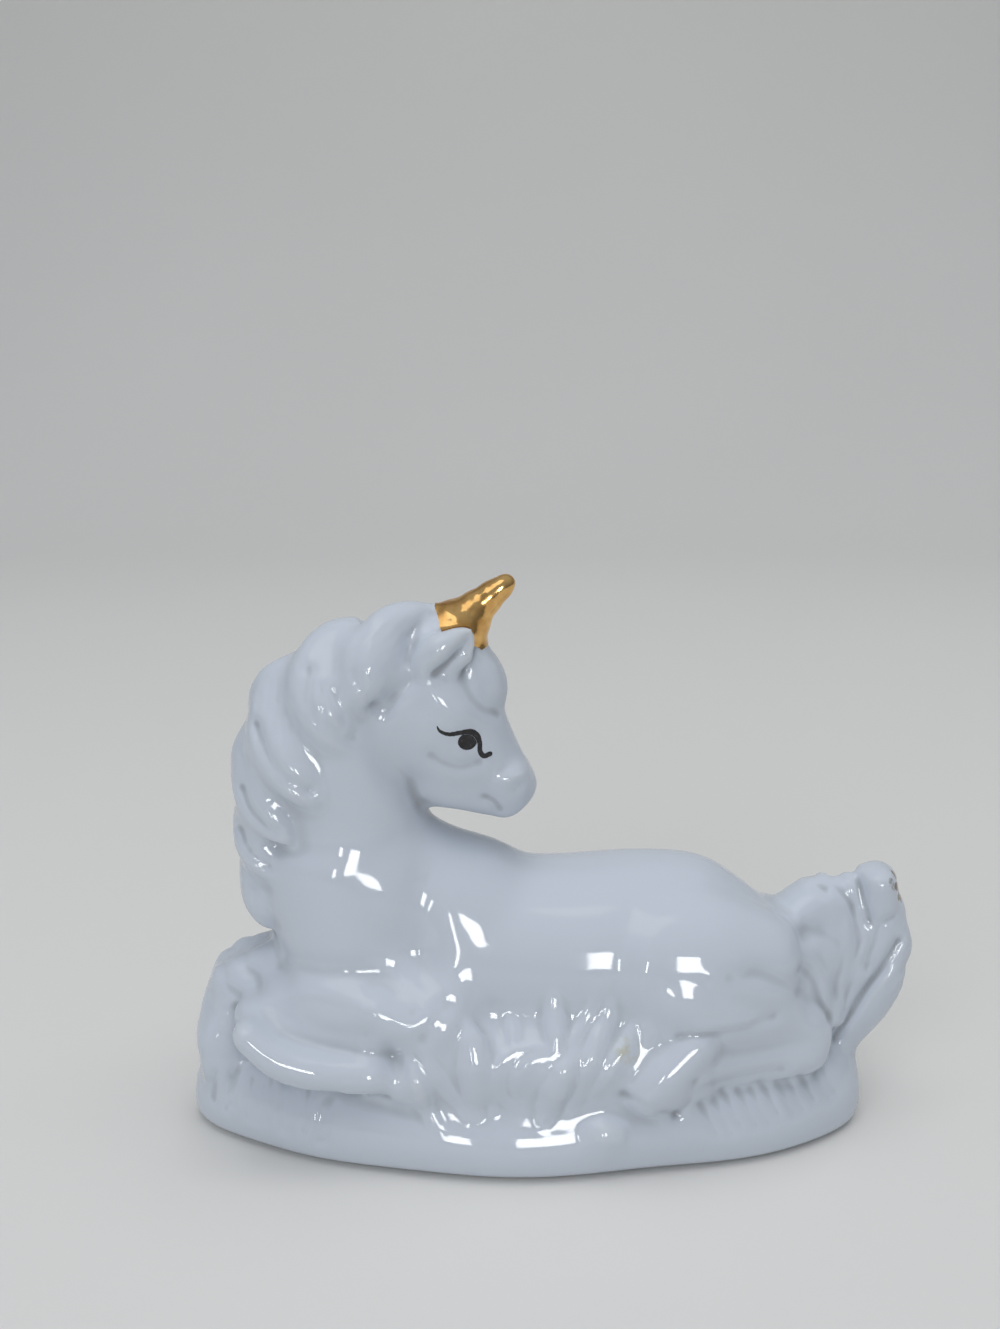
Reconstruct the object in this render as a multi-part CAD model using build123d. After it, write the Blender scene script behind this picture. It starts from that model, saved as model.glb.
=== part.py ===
from build123d import *
import math
import os

# A lying unicorn in glazed porcelain on an oval grassy base.
# Frame: +X runs from the chest to the tail, +Y away from the viewer, +Z up, and the foot lies on Z = 0.
# "Near" is the side of -Y and "far" the side of +Y.

# Driving dimensions in millimetres: the base
BASE_LENGTH = 102.0
BASE_DEPTH = 39.4
BASE_HEIGHT = 13.0
FOOT_INSET = 1.2
WALL = 3.0
VENT_DIAMETER = 8.0
AIR_HOLE_DIAMETER = 5.0

# The body, sunk into the base
BODY_SINK = 5.0
SHOULDER_X = -25.5
BODY_LENGTH = 63.0
BARREL_WIDTH = 28.0
BARREL_HEIGHT = 34.0
RUMP_DROP = 0.09

# Neck and head
NECK_HEIGHT = 69.0
NECK_BREADTH = 26.0
NECK_WIDTH = 26.5
HEAD_LENGTH = 23.0
HEAD_DEPTH = 19.5
HEAD_WIDTH = 14.8
HEAD_TILT = 43.0
HEAD_FORWARD = 5.0
HEAD_BELOW_POLL = 10.0
EAR_LENGTH = 9.0
EAR_WIDTH = 5.6
EAR_THICKNESS = 3.4
HORN_LENGTH = 12.5
HORN_ROOT_DIAMETER = 8.2
HORN_SINK = 3.0
GILDING_THICKNESS = 0.15
FORELOCK_WIDTH = 8.0
FORELOCK_THICKNESS = 6.0

# Hair
MANE_LOCK_THICKNESS = 6.0
TAIL_LENGTH = 22.0
TAIL_LOCK_WIDTH = 7.4
TAIL_LOCK_THICKNESS = 6.4

# Legs
FOREARM_LENGTH = 25.5
FOREARM_DIAMETER = 9.6
FORE_CANNON_LENGTH = 22.0
CANNON_DIAMETER = 6.4
HAUNCH_LENGTH = 30.0
HAUNCH_HEIGHT = 24.5
HAUNCH_THICKNESS = 17.0
GASKIN_LENGTH = 19.0
GASKIN_DIAMETER = 9.4
HIND_CANNON_LENGTH = 17.0
HOOF_LENGTH = 5.5
HOOF_DIAMETER = 7.4
ELBOW_BEHIND_SHOULDER = 11.0
ELBOW_INSET = 1.5
ELBOW_RISE = 9.5
FORE_HOOF_DROP = 2.4
HOCK_BEHIND_RUMP = 3.5
HOCK_INSET = 6.5
HOCK_RISE = 5.0
FETLOCK_DROP = 2.8
HAUNCH_BEFORE_RUMP = 13.0
HAUNCH_PROUD = 1.4
HAUNCH_LIFT = 0.8

# Plants and a stone on the base
LEAF_HEIGHT = 14.0
LEAF_WIDTH = 8.0
LEAF_THICKNESS = 6.4
LEAF_BEFORE_CHEST = 3.0
LEAF_SINK = 3.0
GRASS_HEIGHT = 14.5
BLADE_WIDTH = 4.0
BLADE_THICKNESS = 2.6
BLADE_CLEARANCE = 0.3
PEBBLE_DIAMETER = 6.5

# Painted eyes
ENAMEL_THICKNESS = 0.25
EYE_WIDTH = 7.4
PUPIL_DIAMETER = 2.6
LASH_WIDTH = 0.8

NEAR = -1
ROUND_CAP_STEPS = (0.6, 0.9)
SIDEWAYS = Vector(0, 1, 0)
FORWARD = Vector(1, 0, 0)
UPWARD = Vector(0, 0, 1)

# Ways of the leg pieces on the far side, as shares of each piece's length, and where the folded cannons
# start beside the knee and the hock.
FOREARM_WAY = Vector(-0.985, -0.13, -0.115)
FORE_CANNON_WAY = Vector(1.0, 0.27, -0.16)
FORE_CANNON_START = Vector(1.5, 1.0, -2.4)
GASKIN_WAY = Vector(-1.0, 0.21, 0.30)
HIND_CANNON_WAY = Vector(-1.0, 0.33, -0.04)
HIND_CANNON_START = Vector(-0.8, 1.0, -3.4)
HOOF_WAY = Vector(-0.9, 0.2, -0.42)
# How thick the legs are at the knee and the hock, as shares of their diameters.
FOREARM_TAPER = 0.86
GASKIN_TAPER = 0.8
HOCK_SWELL = 1.1

# The profiles below are shares of each piece's own sizes, section by section.
# Base: height, half length and half depth.
BASE_PROFILE = (
    (0.14, 0.995, 0.985),
    (0.40, 1.0, 1.0),
    (0.68, 0.985, 0.92),
    (0.90, 0.935, 0.77),
    (1.0, 0.85, 0.58),
)
# Torso: way along the body, half width, half height and lift of the centre.
TORSO_PROFILE = (
    (0.16, 0.86, 0.98, 0.02),
    (0.30, 0.95, 0.98, 0.01),
    (0.48, 1.00, 0.95, 0.00),
    (0.70, 1.00, 0.98, 0.00),
    (0.84, 0.88, 0.86, -0.03),
    (0.92, 0.68, 0.66, -0.06),
)
TORSO_END_REACH = 0.5
# Neck: height, place of the centre, half breadth and half width.
NECK_PROFILE = (
    (0.05, 0.02, 1.00, 0.92),
    (0.18, 0.00, 1.00, 1.00),
    (0.35, -0.03, 0.95, 0.94),
    (0.52, -0.06, 0.92, 0.78),
    (0.67, -0.07, 0.91, 0.66),
    (0.80, 0.00, 0.87, 0.57),
    (0.92, 0.14, 0.70, 0.46),
)
NECK_END_REACH = 0.8
# Head: way from the poll to the muzzle, rise of the centre, half height and half width.
HEAD_PROFILE = (
    (-0.06, 0.02, 0.84, 0.84),
    (0.10, 0.01, 0.98, 0.98),
    (0.32, -0.03, 0.97, 1.00),
    (0.52, -0.08, 0.84, 0.88),
    (0.70, -0.09, 0.66, 0.70),
    (0.86, -0.08, 0.50, 0.60),
)
MUZZLE_REACH = 0.9
# Points on the head: way along it, rise and side, as shares of its length, depth and half width.
EYE_PLACE = (0.42, 0.065)
EAR_ROOT = (0.02, 0.24, 0.72)
EAR_TIP = (-0.05, 0.68, 0.52)
HORN_PLACE = (-0.03, 0.46)
FORELOCK_PATH = ((0.00, 0.46), (0.18, 0.46), (0.35, 0.40), (0.44, 0.32))
FORELOCK_TAPER = (0.85, 1.0, 1.0, 0.85, 0.55)
EAR_TAPER = (0.8, 1.0, 1.0, 0.72, 0.38)
HORN_TAPER = (1.1, 0.98, 0.78, 0.62, 0.48, 0.36)
# The lash line from the outer corner over the pupil to the inner corner, as shares of the eye's width.
LASH_PATH = ((-0.55, 0.26), (-0.22, 0.12), (0.20, 0.13), (0.29, -0.18), (0.31, -0.36), (0.44, -0.33))
BRUSH_STATIONS = (0.0, 0.2, 0.4, 0.6, 0.8, 1.0)
BRUSH_END_WIDTH = 0.45
# Mane locks from the poll to the chest. Each point is a height on the neck, a place fore and aft of its
# middle and a place to the side, as shares of the neck there. The last number is the lock's breadth.
MANE_LOCKS = (
    (((0.985, 0.81, 0.25), (0.985, 0.26, 0.42), (0.928, -0.10, 0.88), (0.835, 0.21, 0.98)), 8.0),
    (((0.960, -0.29, 0.10), (0.930, -0.76, 0.30), (0.870, -0.66, 0.75), (0.775, 0.04, 0.96)), 8.2),
    (((0.880, -0.86, 0.05), (0.830, -1.08, 0.20), (0.765, -0.88, 0.60), (0.650, -0.25, 0.94)), 7.8),
    (((0.762, -0.98, 0.05), (0.688, -1.08, 0.20), (0.638, -0.97, 0.46), (0.562, -0.58, 0.80)), 7.0),
    (((0.620, -1.00, 0.05), (0.565, -1.10, 0.18), (0.529, -1.05, 0.38), (0.480, -0.86, 0.56)), 6.2),
    (((0.505, -1.02, 0.05), (0.443, -1.10, 0.16), (0.400, -1.06, 0.28), (0.352, -0.96, 0.38)), 5.4),
)
MANE_TAPER = (0.80, 1.0, 1.0, 0.80, 0.42)
FAR_MANE_LAG = 0.02
# Tail locks from the rump down to the base: root, swell and tip as shares of the tail's length along
# X and Z from the rump, and the lean of the tip to the far side.
TAIL_LOCKS = (
    ((-0.06, 0.02), (0.13, 0.38), (0.34, 0.72), 0.10),
    ((0.02, -0.08), (0.32, 0.38), (0.58, 0.78), 0.04),
    ((0.10, -0.20), (0.45, 0.28), (0.74, 0.76), 0.10),
    ((0.18, -0.32), (0.55, 0.15), (0.82, 0.56), 0.02),
    ((0.26, -0.42), (0.63, -0.02), (0.86, 0.34), -0.04),
    ((0.32, -0.54), (0.60, -0.22), (0.78, 0.10), -0.10),
)
TAIL_TAPER = (0.85, 1.0, 1.0, 0.85, 0.55)
# Grass blades from left to right: place of the root and of the tip along the belly, height of the tip
# and breadth, as shares of the tuft's height and the blade's width.
GRASS_BLADES = (
    (-0.62, -1.32, 0.62, 1.0),
    (-0.46, -0.94, 0.72, 1.1),
    (-0.38, -0.52, 0.86, 1.5),
    (-0.14, -0.20, 0.48, 1.3),
    (0.08, 0.22, 0.54, 1.3),
    (0.18, 0.20, 1.04, 1.0),
    (0.32, 0.76, 1.12, 1.1),
    (0.46, 1.02, 0.96, 1.1),
    (0.62, 1.32, 0.74, 1.0),
)
BLADE_TAPER = (0.75, 1.0, 1.0, 0.75, 0.36)
BLADE_BOW = 0.35
# Where the tuft and the stone stand: way along the body, way out over the base's half depth and height on it.
GRASS_PLACE = (0.42, 0.84, 0.66)
PEBBLE_PLACE = (0.57, 0.93, 0.5)
PEBBLE_FLATNESS = 0.7
# Leaves before the chest: place of the root and of the tip along X, side and height of the tip,
# as shares of the leaf's height.
CHEST_LEAVES = (
    (0.06, -0.10, 0.20, 1.14),
    (-0.10, -0.42, 0.05, 0.90),
    (-0.20, -0.50, -0.22, 0.56),
)
LEAF_TAPER = (0.9, 1.0, 1.0, 0.85, 0.55)
LEAF_ROOT_SPREAD = 0.6
# Where the sections of a lock, leaf or blade lie along its path, before its tip.
LOCK_STATIONS = (0.0, 0.25, 0.5, 0.75, 0.92)
# Where the sections of an egg lie along its half length, and how much smaller they are there.
EGG_STATIONS = (-0.5, 0.0, 0.5)
EGG_SHRINKS = [math.sqrt(1 - station**2) for station in EGG_STATIONS]


def oval(centre, across, along, half_size):
    """An elliptical section at centre, square to along, with its width turned as near to across as it goes."""
    width_way = (across - along * across.dot(along)).normalized()
    return (Plane(origin=centre, x_dir=width_way, z_dir=along) * Ellipse(*half_size)).face()


def round_cap(point, outward, half_size, across, reach):
    """Shrinking sections that close a form with a round end."""
    cap = []
    for step in ROUND_CAP_STEPS:
        shrink = math.sqrt(1 - step**2)
        half_shrunk = (half_size[0] * shrink, half_size[1] * shrink)
        cap.append(oval(point + outward * reach * step, across, outward, half_shrunk))
    return cap + [Vertex(*(point + outward * reach))]


def limb(path, half_sizes, across=SIDEWAYS, way=None, reach=1.0):
    """A form that swells and tapers along a path and ends round.

    Half sizes run across and square to that. The sections lie square to the path, or to one way.
    """
    points = [Vector(*point) for point in path]
    last = len(points) - 1
    chords = [points[min(i + 1, last)] - points[max(i - 1, 0)] for i in range(last + 1)]
    ways = [way or chord.normalized() for chord in chords]
    sections = [oval(point, across, along, size) for point, along, size in zip(points, ways, half_sizes)]
    start = round_cap(points[0], ways[0] * -1, half_sizes[0], across, reach * min(half_sizes[0]))
    end = round_cap(points[last], ways[last], half_sizes[last], across, reach * min(half_sizes[last]))
    return loft(start[::-1] + sections + end)


def lock(path, taper, width, thickness, across=SIDEWAYS):
    """A lock, leaf or blade: a flat root that is sunk in its carrier, a swell, and a drawn-out tip."""
    line = Spline(*path)
    sections = []
    for station, share in zip(LOCK_STATIONS, taper):
        half_size = (thickness / 2 * share, width / 2 * share)
        sections.append(oval(line @ station, across, line % station, half_size))
    return loft(sections + [Vertex(*(line @ 1))])


def fit(raw, cutters):
    """Cut neighbours or a hollow out of a piece, so that they meet face to face, and keep its main solid."""
    for cutter in cutters:
        raw = raw - cutter
    return max(raw.solids(), key=lambda solid: solid.volume)


def brush_stroke(path):
    """The outline of a painted line that is full in the middle and thins at both ends."""
    line = Spline([(x * EYE_WIDTH, z * EYE_WIDTH) for x, z in path])
    left, right = [], []
    for station in BRUSH_STATIONS:
        fullness = BRUSH_END_WIDTH + (1 - BRUSH_END_WIDTH) * math.sin(math.pi * station)
        half_width = LASH_WIDTH / 2 * fullness
        square = (line % station).rotate(Axis.Z, 90) * half_width
        left.append(line @ station + square)
        right.append(line @ station - square)
    ends = [Line(left[0], right[0]), Line(left[-1], right[-1])]
    return make_face(Curve() + [Spline(left), ends[1], Spline(right), ends[0]])


def between(profile, place):
    """The shares of a profile at any place along it."""
    inside = min(max(place, profile[0][0]), profile[-1][0])
    for low, high in zip(profile, profile[1:]):
        if inside <= high[0]:
            share = (inside - low[0]) / (high[0] - low[0])
            return [a + (b - a) * share for a, b in zip(low[1:], high[1:])]


# Places that several pieces share
BODY_FLOOR = BASE_HEIGHT - BODY_SINK
BODY_CENTRE_Z = BODY_FLOOR + BARREL_HEIGHT / 2
FLANK_Y = BARREL_WIDTH / 2
RUMP = Vector(SHOULDER_X + BODY_LENGTH, 0, BODY_CENTRE_Z - RUMP_DROP * BARREL_HEIGHT)


def base_form(inset, floor, ceiling):
    """The base's outer form, or its hollow when it is drawn in by a wall."""
    half_length = BASE_LENGTH / 2 - inset
    half_depth = BASE_DEPTH / 2 - inset
    rings = [(0, half_length - FOOT_INSET, half_depth - FOOT_INSET)]
    rings += [(up, half_length * long, half_depth * deep) for up, long, deep in BASE_PROFILE]
    return loft(
        [
            oval(Vector(0, 0, floor + (ceiling - floor) * up), FORWARD, UPWARD, (long, deep))
            for up, long, deep in rings
        ]
    )


def torso_form(inset):
    """The barrel of the body, or its hollow."""
    path = []
    half_sizes = []
    for along, wide, high, lift in TORSO_PROFILE:
        path.append((SHOULDER_X + BODY_LENGTH * along, 0, BODY_CENTRE_Z + BARREL_HEIGHT * lift))
        half_sizes.append((FLANK_Y * wide - inset, BARREL_HEIGHT / 2 * high - inset))
    return limb(path, half_sizes, way=FORWARD, reach=TORSO_END_REACH)


def neck_section(place):
    """Centre, half breadth along X and half width along Y of the neck at a share of its height."""
    shift, broad, wide = between(NECK_PROFILE, place)
    centre = Vector(SHOULDER_X + NECK_BREADTH * shift, 0, BODY_FLOOR + NECK_HEIGHT * place)
    return centre, NECK_BREADTH / 2 * broad, NECK_WIDTH / 2 * wide


def neck_form(inset):
    """The chest and neck, which rise from the base to the poll, or their hollow."""
    sections = [neck_section(row[0]) for row in NECK_PROFILE]
    path = [centre for centre, _, _ in sections]
    half_sizes = [(broad - inset, wide - inset) for _, broad, wide in sections]
    return limb(path, half_sizes, across=FORWARD, way=UPWARD, reach=NECK_END_REACH)


# The head's own directions: down the face to the muzzle, and out of the forehead
POLL = neck_section(1.0)[0]
HEAD_ORIGIN = POLL + Vector(HEAD_FORWARD, 0, -HEAD_BELOW_POLL)
FACE = Vector(math.cos(math.radians(HEAD_TILT)), 0, -math.sin(math.radians(HEAD_TILT)))
BROW = Vector(math.sin(math.radians(HEAD_TILT)), 0, math.cos(math.radians(HEAD_TILT)))


def head_point(along, rise, side=0.0):
    """A point of the head: shares of its length, its depth and its half width."""
    in_profile = FACE * HEAD_LENGTH * along + BROW * HEAD_DEPTH * rise
    return HEAD_ORIGIN + in_profile + SIDEWAYS * HEAD_WIDTH / 2 * side


def head_form(growth):
    """The skull, cheeks and muzzle."""
    path = [head_point(along, rise) for along, rise, _, _ in HEAD_PROFILE]
    half_sizes = []
    for _, _, high, wide in HEAD_PROFILE:
        half_sizes.append((HEAD_WIDTH / 2 * wide + growth, HEAD_DEPTH / 2 * high + growth))
    return limb(path, half_sizes, way=FACE, reach=MUZZLE_REACH)


def ear_form(side):
    """A pointed ear that stands up beside the horn."""
    root = head_point(EAR_ROOT[0], EAR_ROOT[1], side * EAR_ROOT[2])
    tip_way = (head_point(EAR_TIP[0], EAR_TIP[1], side * EAR_TIP[2]) - root).normalized()
    path = [root + tip_way * EAR_LENGTH * share for share in (0.0, 0.5, 1.0)]
    return lock(path, EAR_TAPER, EAR_WIDTH, EAR_THICKNESS)


def horn_form(growth):
    """The straight tapering horn, which stands square to the face."""
    root = head_point(*HORN_PLACE) - BROW * HORN_SINK
    step = (HORN_LENGTH + HORN_SINK) / len(HORN_TAPER)
    path = [root + BROW * step * i for i in range(len(HORN_TAPER))]
    half_sizes = [(HORN_ROOT_DIAMETER / 2 * share + growth,) * 2 for share in HORN_TAPER]
    return limb(path, half_sizes)


def forelock_form():
    """The tuft that falls over the forehead below the horn."""
    path = [head_point(along, rise) for along, rise in FORELOCK_PATH]
    return lock(path, FORELOCK_TAPER, FORELOCK_THICKNESS, FORELOCK_WIDTH)


def mane_lock_form(points, breadth, lag):
    """A lock that leaves the crest and sweeps down the near side of the neck."""
    path = []
    for height, fore, out in points:
        centre, broad, wide = neck_section(height - lag)
        path.append(centre + Vector(fore * broad, -out * wide, 0))
    return lock(path, MANE_TAPER, breadth, MANE_LOCK_THICKNESS)


def tail_lock_form(root, swell, tip, lean):
    """A lock of the tail, which fans up from the rump and the base."""
    path = [RUMP + Vector(x, 0, z) * TAIL_LENGTH for x, z in (root, swell, tip)]
    path[-1] += SIDEWAYS * TAIL_LENGTH * lean
    return lock(path, TAIL_TAPER, TAIL_LOCK_WIDTH, TAIL_LOCK_THICKNESS)


# Leg joints: the elbow and stifle lie on the flank, the knee and hock further in, over the base
ELBOW = Vector(SHOULDER_X + ELBOW_BEHIND_SHOULDER, FLANK_Y - ELBOW_INSET, BASE_HEIGHT + ELBOW_RISE)
KNEE = ELBOW + FOREARM_WAY * FOREARM_LENGTH
FORE_HOOF = KNEE + FORE_CANNON_WAY * FORE_CANNON_LENGTH - UPWARD * FORE_HOOF_DROP
HOCK = Vector(RUMP.X + HOCK_BEHIND_RUMP, FLANK_Y - HOCK_INSET, BASE_HEIGHT + HOCK_RISE)
STIFLE = HOCK + GASKIN_WAY * GASKIN_LENGTH
FETLOCK = HOCK + HIND_CANNON_WAY * HIND_CANNON_LENGTH - UPWARD * FETLOCK_DROP
HIND_TOE = FETLOCK + HOOF_WAY * HOOF_LENGTH


def leg_piece(start, end, start_diameter, end_diameter, side):
    """A straight leg piece with a slight swell, on one side of the body."""
    half = [start_diameter / 2, (start_diameter + end_diameter) / 4, end_diameter / 2]
    path = [start + (end - start) * share for share in (0.0, 0.5, 1.0)]
    path = [Vector(point.X, side * point.Y, point.Z) for point in path]
    return limb(path, [(radius, radius) for radius in half])


def haunch_form(side):
    """The rounded thigh on the flank."""
    out = FLANK_Y - HAUNCH_THICKNESS / 2 + HAUNCH_PROUD
    centre = Vector(RUMP.X - HAUNCH_BEFORE_RUMP, side * out, BODY_CENTRE_Z + HAUNCH_LIFT)
    path = [centre + FORWARD * HAUNCH_LENGTH / 2 * station for station in EGG_STATIONS]
    half_sizes = [(HAUNCH_THICKNESS / 2 * shrink, HAUNCH_HEIGHT / 2 * shrink) for shrink in EGG_SHRINKS]
    cap_length = HAUNCH_LENGTH / 2 * (1 - EGG_STATIONS[-1])
    return limb(path, half_sizes, way=FORWARD, reach=cap_length / min(half_sizes[0]))


def grass_blade_form(root, tip, height, broad):
    """A blade that grows out of the base's front edge and leans on the belly."""
    along, out, up = GRASS_PLACE
    belly_x = SHOULDER_X + BODY_LENGTH * along
    start = Vector(belly_x + GRASS_HEIGHT * root, -(BASE_DEPTH / 2) * out, BASE_HEIGHT * up)
    tip_z = BASE_HEIGHT + GRASS_HEIGHT * height
    end = Vector(belly_x + GRASS_HEIGHT * tip, -FLANK_Y - BLADE_CLEARANCE, tip_z)
    middle = (start + end) / 2 - SIDEWAYS * BLADE_THICKNESS * BLADE_BOW
    return lock([start, middle, end], BLADE_TAPER, BLADE_WIDTH * broad, BLADE_THICKNESS)


def chest_leaf_form(root, tip, side, height):
    """A thick leaf in front of the chest."""
    chest_x = SHOULDER_X - NECK_BREADTH / 2 - LEAF_BEFORE_CHEST
    root_z = BASE_HEIGHT - LEAF_SINK
    start = Vector(chest_x + LEAF_HEIGHT * root, LEAF_HEIGHT * side * LEAF_ROOT_SPREAD, root_z)
    end = Vector(chest_x + LEAF_HEIGHT * tip, LEAF_HEIGHT * side, root_z + LEAF_HEIGHT * height)
    return lock([start, (start + end) / 2, end], LEAF_TAPER, LEAF_THICKNESS, LEAF_WIDTH)


def pebble_form():
    """A rounded stone on the front edge of the base."""
    half = PEBBLE_DIAMETER / 2
    along, out, up = PEBBLE_PLACE
    centre = Vector(SHOULDER_X + BODY_LENGTH * along, -(BASE_DEPTH / 2) * out, BASE_HEIGHT * up)
    path = [centre + FORWARD * half * station for station in EGG_STATIONS]
    half_sizes = [(half * PEBBLE_FLATNESS * shrink, half * shrink) for shrink in EGG_SHRINKS]
    return limb(path, half_sizes, way=FORWARD)


nodes = {}
raws = {}


def place(name, raw, carriers, hollow=()):
    """Add a piece, cut by the pieces that carry or touch it and by its own hollow."""
    nodes[name] = fit(raw, [raws[carrier] for carrier in carriers] + list(hollow))
    raws[name] = raw


def place_pair(name, form, sizes, carriers):
    """Add a piece on the near side and its mirror image on the far side."""
    place("near_" + name, form(*sizes, NEAR), carriers)
    nodes["far_" + name] = mirror(nodes["near_" + name], Plane.XZ)
    raws["far_" + name] = mirror(raws["near_" + name], Plane.XZ)


# Base, neck, torso and head
vent = Cylinder(VENT_DIAMETER / 2, WALL * 3)
air_holes = [
    Pos(x, 0, BASE_HEIGHT - WALL) * Cylinder(AIR_HOLE_DIAMETER / 2, WALL * 3)
    for x in (SHOULDER_X, SHOULDER_X + BODY_LENGTH / 2)
]
base_hollow = base_form(WALL, WALL, BASE_HEIGHT - WALL)
place("base_mound", base_form(0, 0, BASE_HEIGHT), [], [base_hollow, vent, *air_holes])
place("neck", neck_form(0), ["base_mound"], [neck_form(WALL)])
place("torso", torso_form(0), ["base_mound", "neck"], [torso_form(WALL)])
place("head", head_form(0), ["neck"])

# Legs
place_pair("haunch", haunch_form, [], ["base_mound", "torso"])
place_pair(
    "gaskin",
    leg_piece,
    [STIFLE, HOCK, GASKIN_DIAMETER, GASKIN_DIAMETER * GASKIN_TAPER],
    ["base_mound", "torso", "near_haunch"],
)
place_pair(
    "forearm",
    leg_piece,
    [ELBOW, KNEE, FOREARM_DIAMETER, FOREARM_DIAMETER * FOREARM_TAPER],
    ["base_mound", "neck", "torso"],
)
place_pair(
    "fore_cannon",
    leg_piece,
    [KNEE + FORE_CANNON_START, FORE_HOOF, CANNON_DIAMETER, CANNON_DIAMETER],
    ["base_mound", "neck", "near_forearm"],
)
place_pair(
    "hind_cannon",
    leg_piece,
    [HOCK + HIND_CANNON_START, FETLOCK, CANNON_DIAMETER * HOCK_SWELL, CANNON_DIAMETER],
    ["base_mound", "torso", "near_haunch", "near_gaskin"],
)
place_pair(
    "hind_hoof",
    leg_piece,
    [FETLOCK, HIND_TOE, CANNON_DIAMETER, HOOF_DIAMETER],
    ["base_mound", "torso", "near_haunch", "near_gaskin", "near_hind_cannon"],
)

# Horn, ears and hair
place("horn", horn_form(0), ["head", "neck"])
place("horn_gilding", horn_form(GILDING_THICKNESS), ["head", "neck", "horn"])
place("forelock", forelock_form(), ["head", "horn_gilding"])
place_pair("ear", ear_form, [], ["head", "neck", "horn_gilding", "forelock"])
far_half = Pos(POLL.X, NECK_WIDTH / 2, BODY_FLOOR) * Box(NECK_BREADTH * 4, NECK_WIDTH, NECK_HEIGHT * 3)
carriers = ["neck", "head", "horn_gilding", "near_ear"]
for number, (points, breadth) in enumerate(MANE_LOCKS, 1):
    place(f"near_mane_lock_{number}", mane_lock_form(points, breadth, 0), carriers, [far_half])
    carriers = ["neck", f"near_mane_lock_{number}"]
near_half = mirror(far_half, Plane.XZ)
carriers = ["neck", "head", "horn_gilding", "far_ear"]
for number, (points, breadth) in enumerate(MANE_LOCKS, 1):
    far_form = mirror(mane_lock_form(points, breadth, FAR_MANE_LAG), Plane.XZ)
    place(f"far_mane_lock_{number}", far_form, carriers, [near_half])
    carriers = ["neck", f"far_mane_lock_{number}"]
carriers = ["torso", "base_mound", "near_haunch", "far_haunch", "near_gaskin", "far_gaskin"]
previous = []
for number, tail_lock in enumerate(TAIL_LOCKS, 1):
    place(f"tail_lock_{number}", tail_lock_form(*tail_lock), carriers + previous)
    previous = [f"tail_lock_{number}"]

# Plants and the stone
carriers = ["base_mound", "neck"]
for number, leaf in enumerate(CHEST_LEAVES, 1):
    place(f"chest_leaf_{number}", chest_leaf_form(*leaf), carriers + ["near_forearm", "far_forearm"])
    carriers = ["base_mound", "neck", f"chest_leaf_{number}"]
fore_neighbours = ["base_mound", "neck", "torso", "near_forearm", "near_fore_cannon"]
hind_neighbours = ["base_mound", "torso", "near_haunch", "near_gaskin", "near_hind_hoof"]
blades = []
for number, blade in enumerate(GRASS_BLADES, 1):
    neighbours = fore_neighbours if blade[1] < 0 else hind_neighbours
    place(f"grass_blade_{number}", grass_blade_form(*blade), neighbours + blades[-2:])
    blades.append(f"grass_blade_{number}")
place("pebble", pebble_form(), ["base_mound"] + blades[-3:])

# Painted eyes: thin enamel that follows the skin of the head
enamel_skin = head_form(ENAMEL_THICKNESS)
eye = head_point(*EYE_PLACE)
eye_plane = Plane(origin=(eye.X, -HEAD_WIDTH, eye.Z), x_dir=FORWARD, z_dir=SIDEWAYS * -1)


def enamel(outline, side):
    """The part of the enamel skin inside an outline drawn on the near side of the head."""
    return extrude(eye_plane * outline, -HEAD_WIDTH) & enamel_skin


place_pair("pupil", enamel, [Circle(PUPIL_DIAMETER / 2)], ["head"])
place_pair("lash_line", enamel, [brush_stroke(LASH_PATH)], ["head", "near_pupil"])

os.makedirs("parts", exist_ok=True)
for name, shape in nodes.items():
    export_step(shape, f"parts/{name}.step")
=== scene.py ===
import math

import bpy
import numpy as np
import openvdb as vdb
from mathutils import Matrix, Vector


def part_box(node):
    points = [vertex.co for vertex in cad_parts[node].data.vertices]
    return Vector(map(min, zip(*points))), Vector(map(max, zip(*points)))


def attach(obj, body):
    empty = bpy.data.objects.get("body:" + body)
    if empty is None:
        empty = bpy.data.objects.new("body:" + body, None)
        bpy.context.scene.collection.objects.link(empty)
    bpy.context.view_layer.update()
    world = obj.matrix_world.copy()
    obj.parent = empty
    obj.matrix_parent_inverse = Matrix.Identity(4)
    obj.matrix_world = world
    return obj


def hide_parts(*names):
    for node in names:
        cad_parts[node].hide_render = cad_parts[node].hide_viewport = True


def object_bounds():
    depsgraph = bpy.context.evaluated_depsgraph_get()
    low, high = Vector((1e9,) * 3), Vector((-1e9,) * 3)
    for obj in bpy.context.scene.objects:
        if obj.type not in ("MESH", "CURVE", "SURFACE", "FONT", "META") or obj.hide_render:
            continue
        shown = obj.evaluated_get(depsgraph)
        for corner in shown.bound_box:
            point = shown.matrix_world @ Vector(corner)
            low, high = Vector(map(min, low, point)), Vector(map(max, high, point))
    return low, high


# A lying unicorn in glazed porcelain. Each CAD piece gets a skin of its own, cut from one soft clay form
# that joins them all, so that the glaze runs over the seams without a break.
# Shapes are worked out in millimetres in the CAD frame: +X to the tail, -Y to the viewer, +Z up.
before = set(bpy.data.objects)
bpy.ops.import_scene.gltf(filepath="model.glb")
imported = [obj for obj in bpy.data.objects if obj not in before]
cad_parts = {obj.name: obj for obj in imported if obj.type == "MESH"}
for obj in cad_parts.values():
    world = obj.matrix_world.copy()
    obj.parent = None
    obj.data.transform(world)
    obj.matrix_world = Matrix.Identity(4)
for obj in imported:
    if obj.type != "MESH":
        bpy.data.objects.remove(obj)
cad_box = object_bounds()

MM = 0.001
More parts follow.
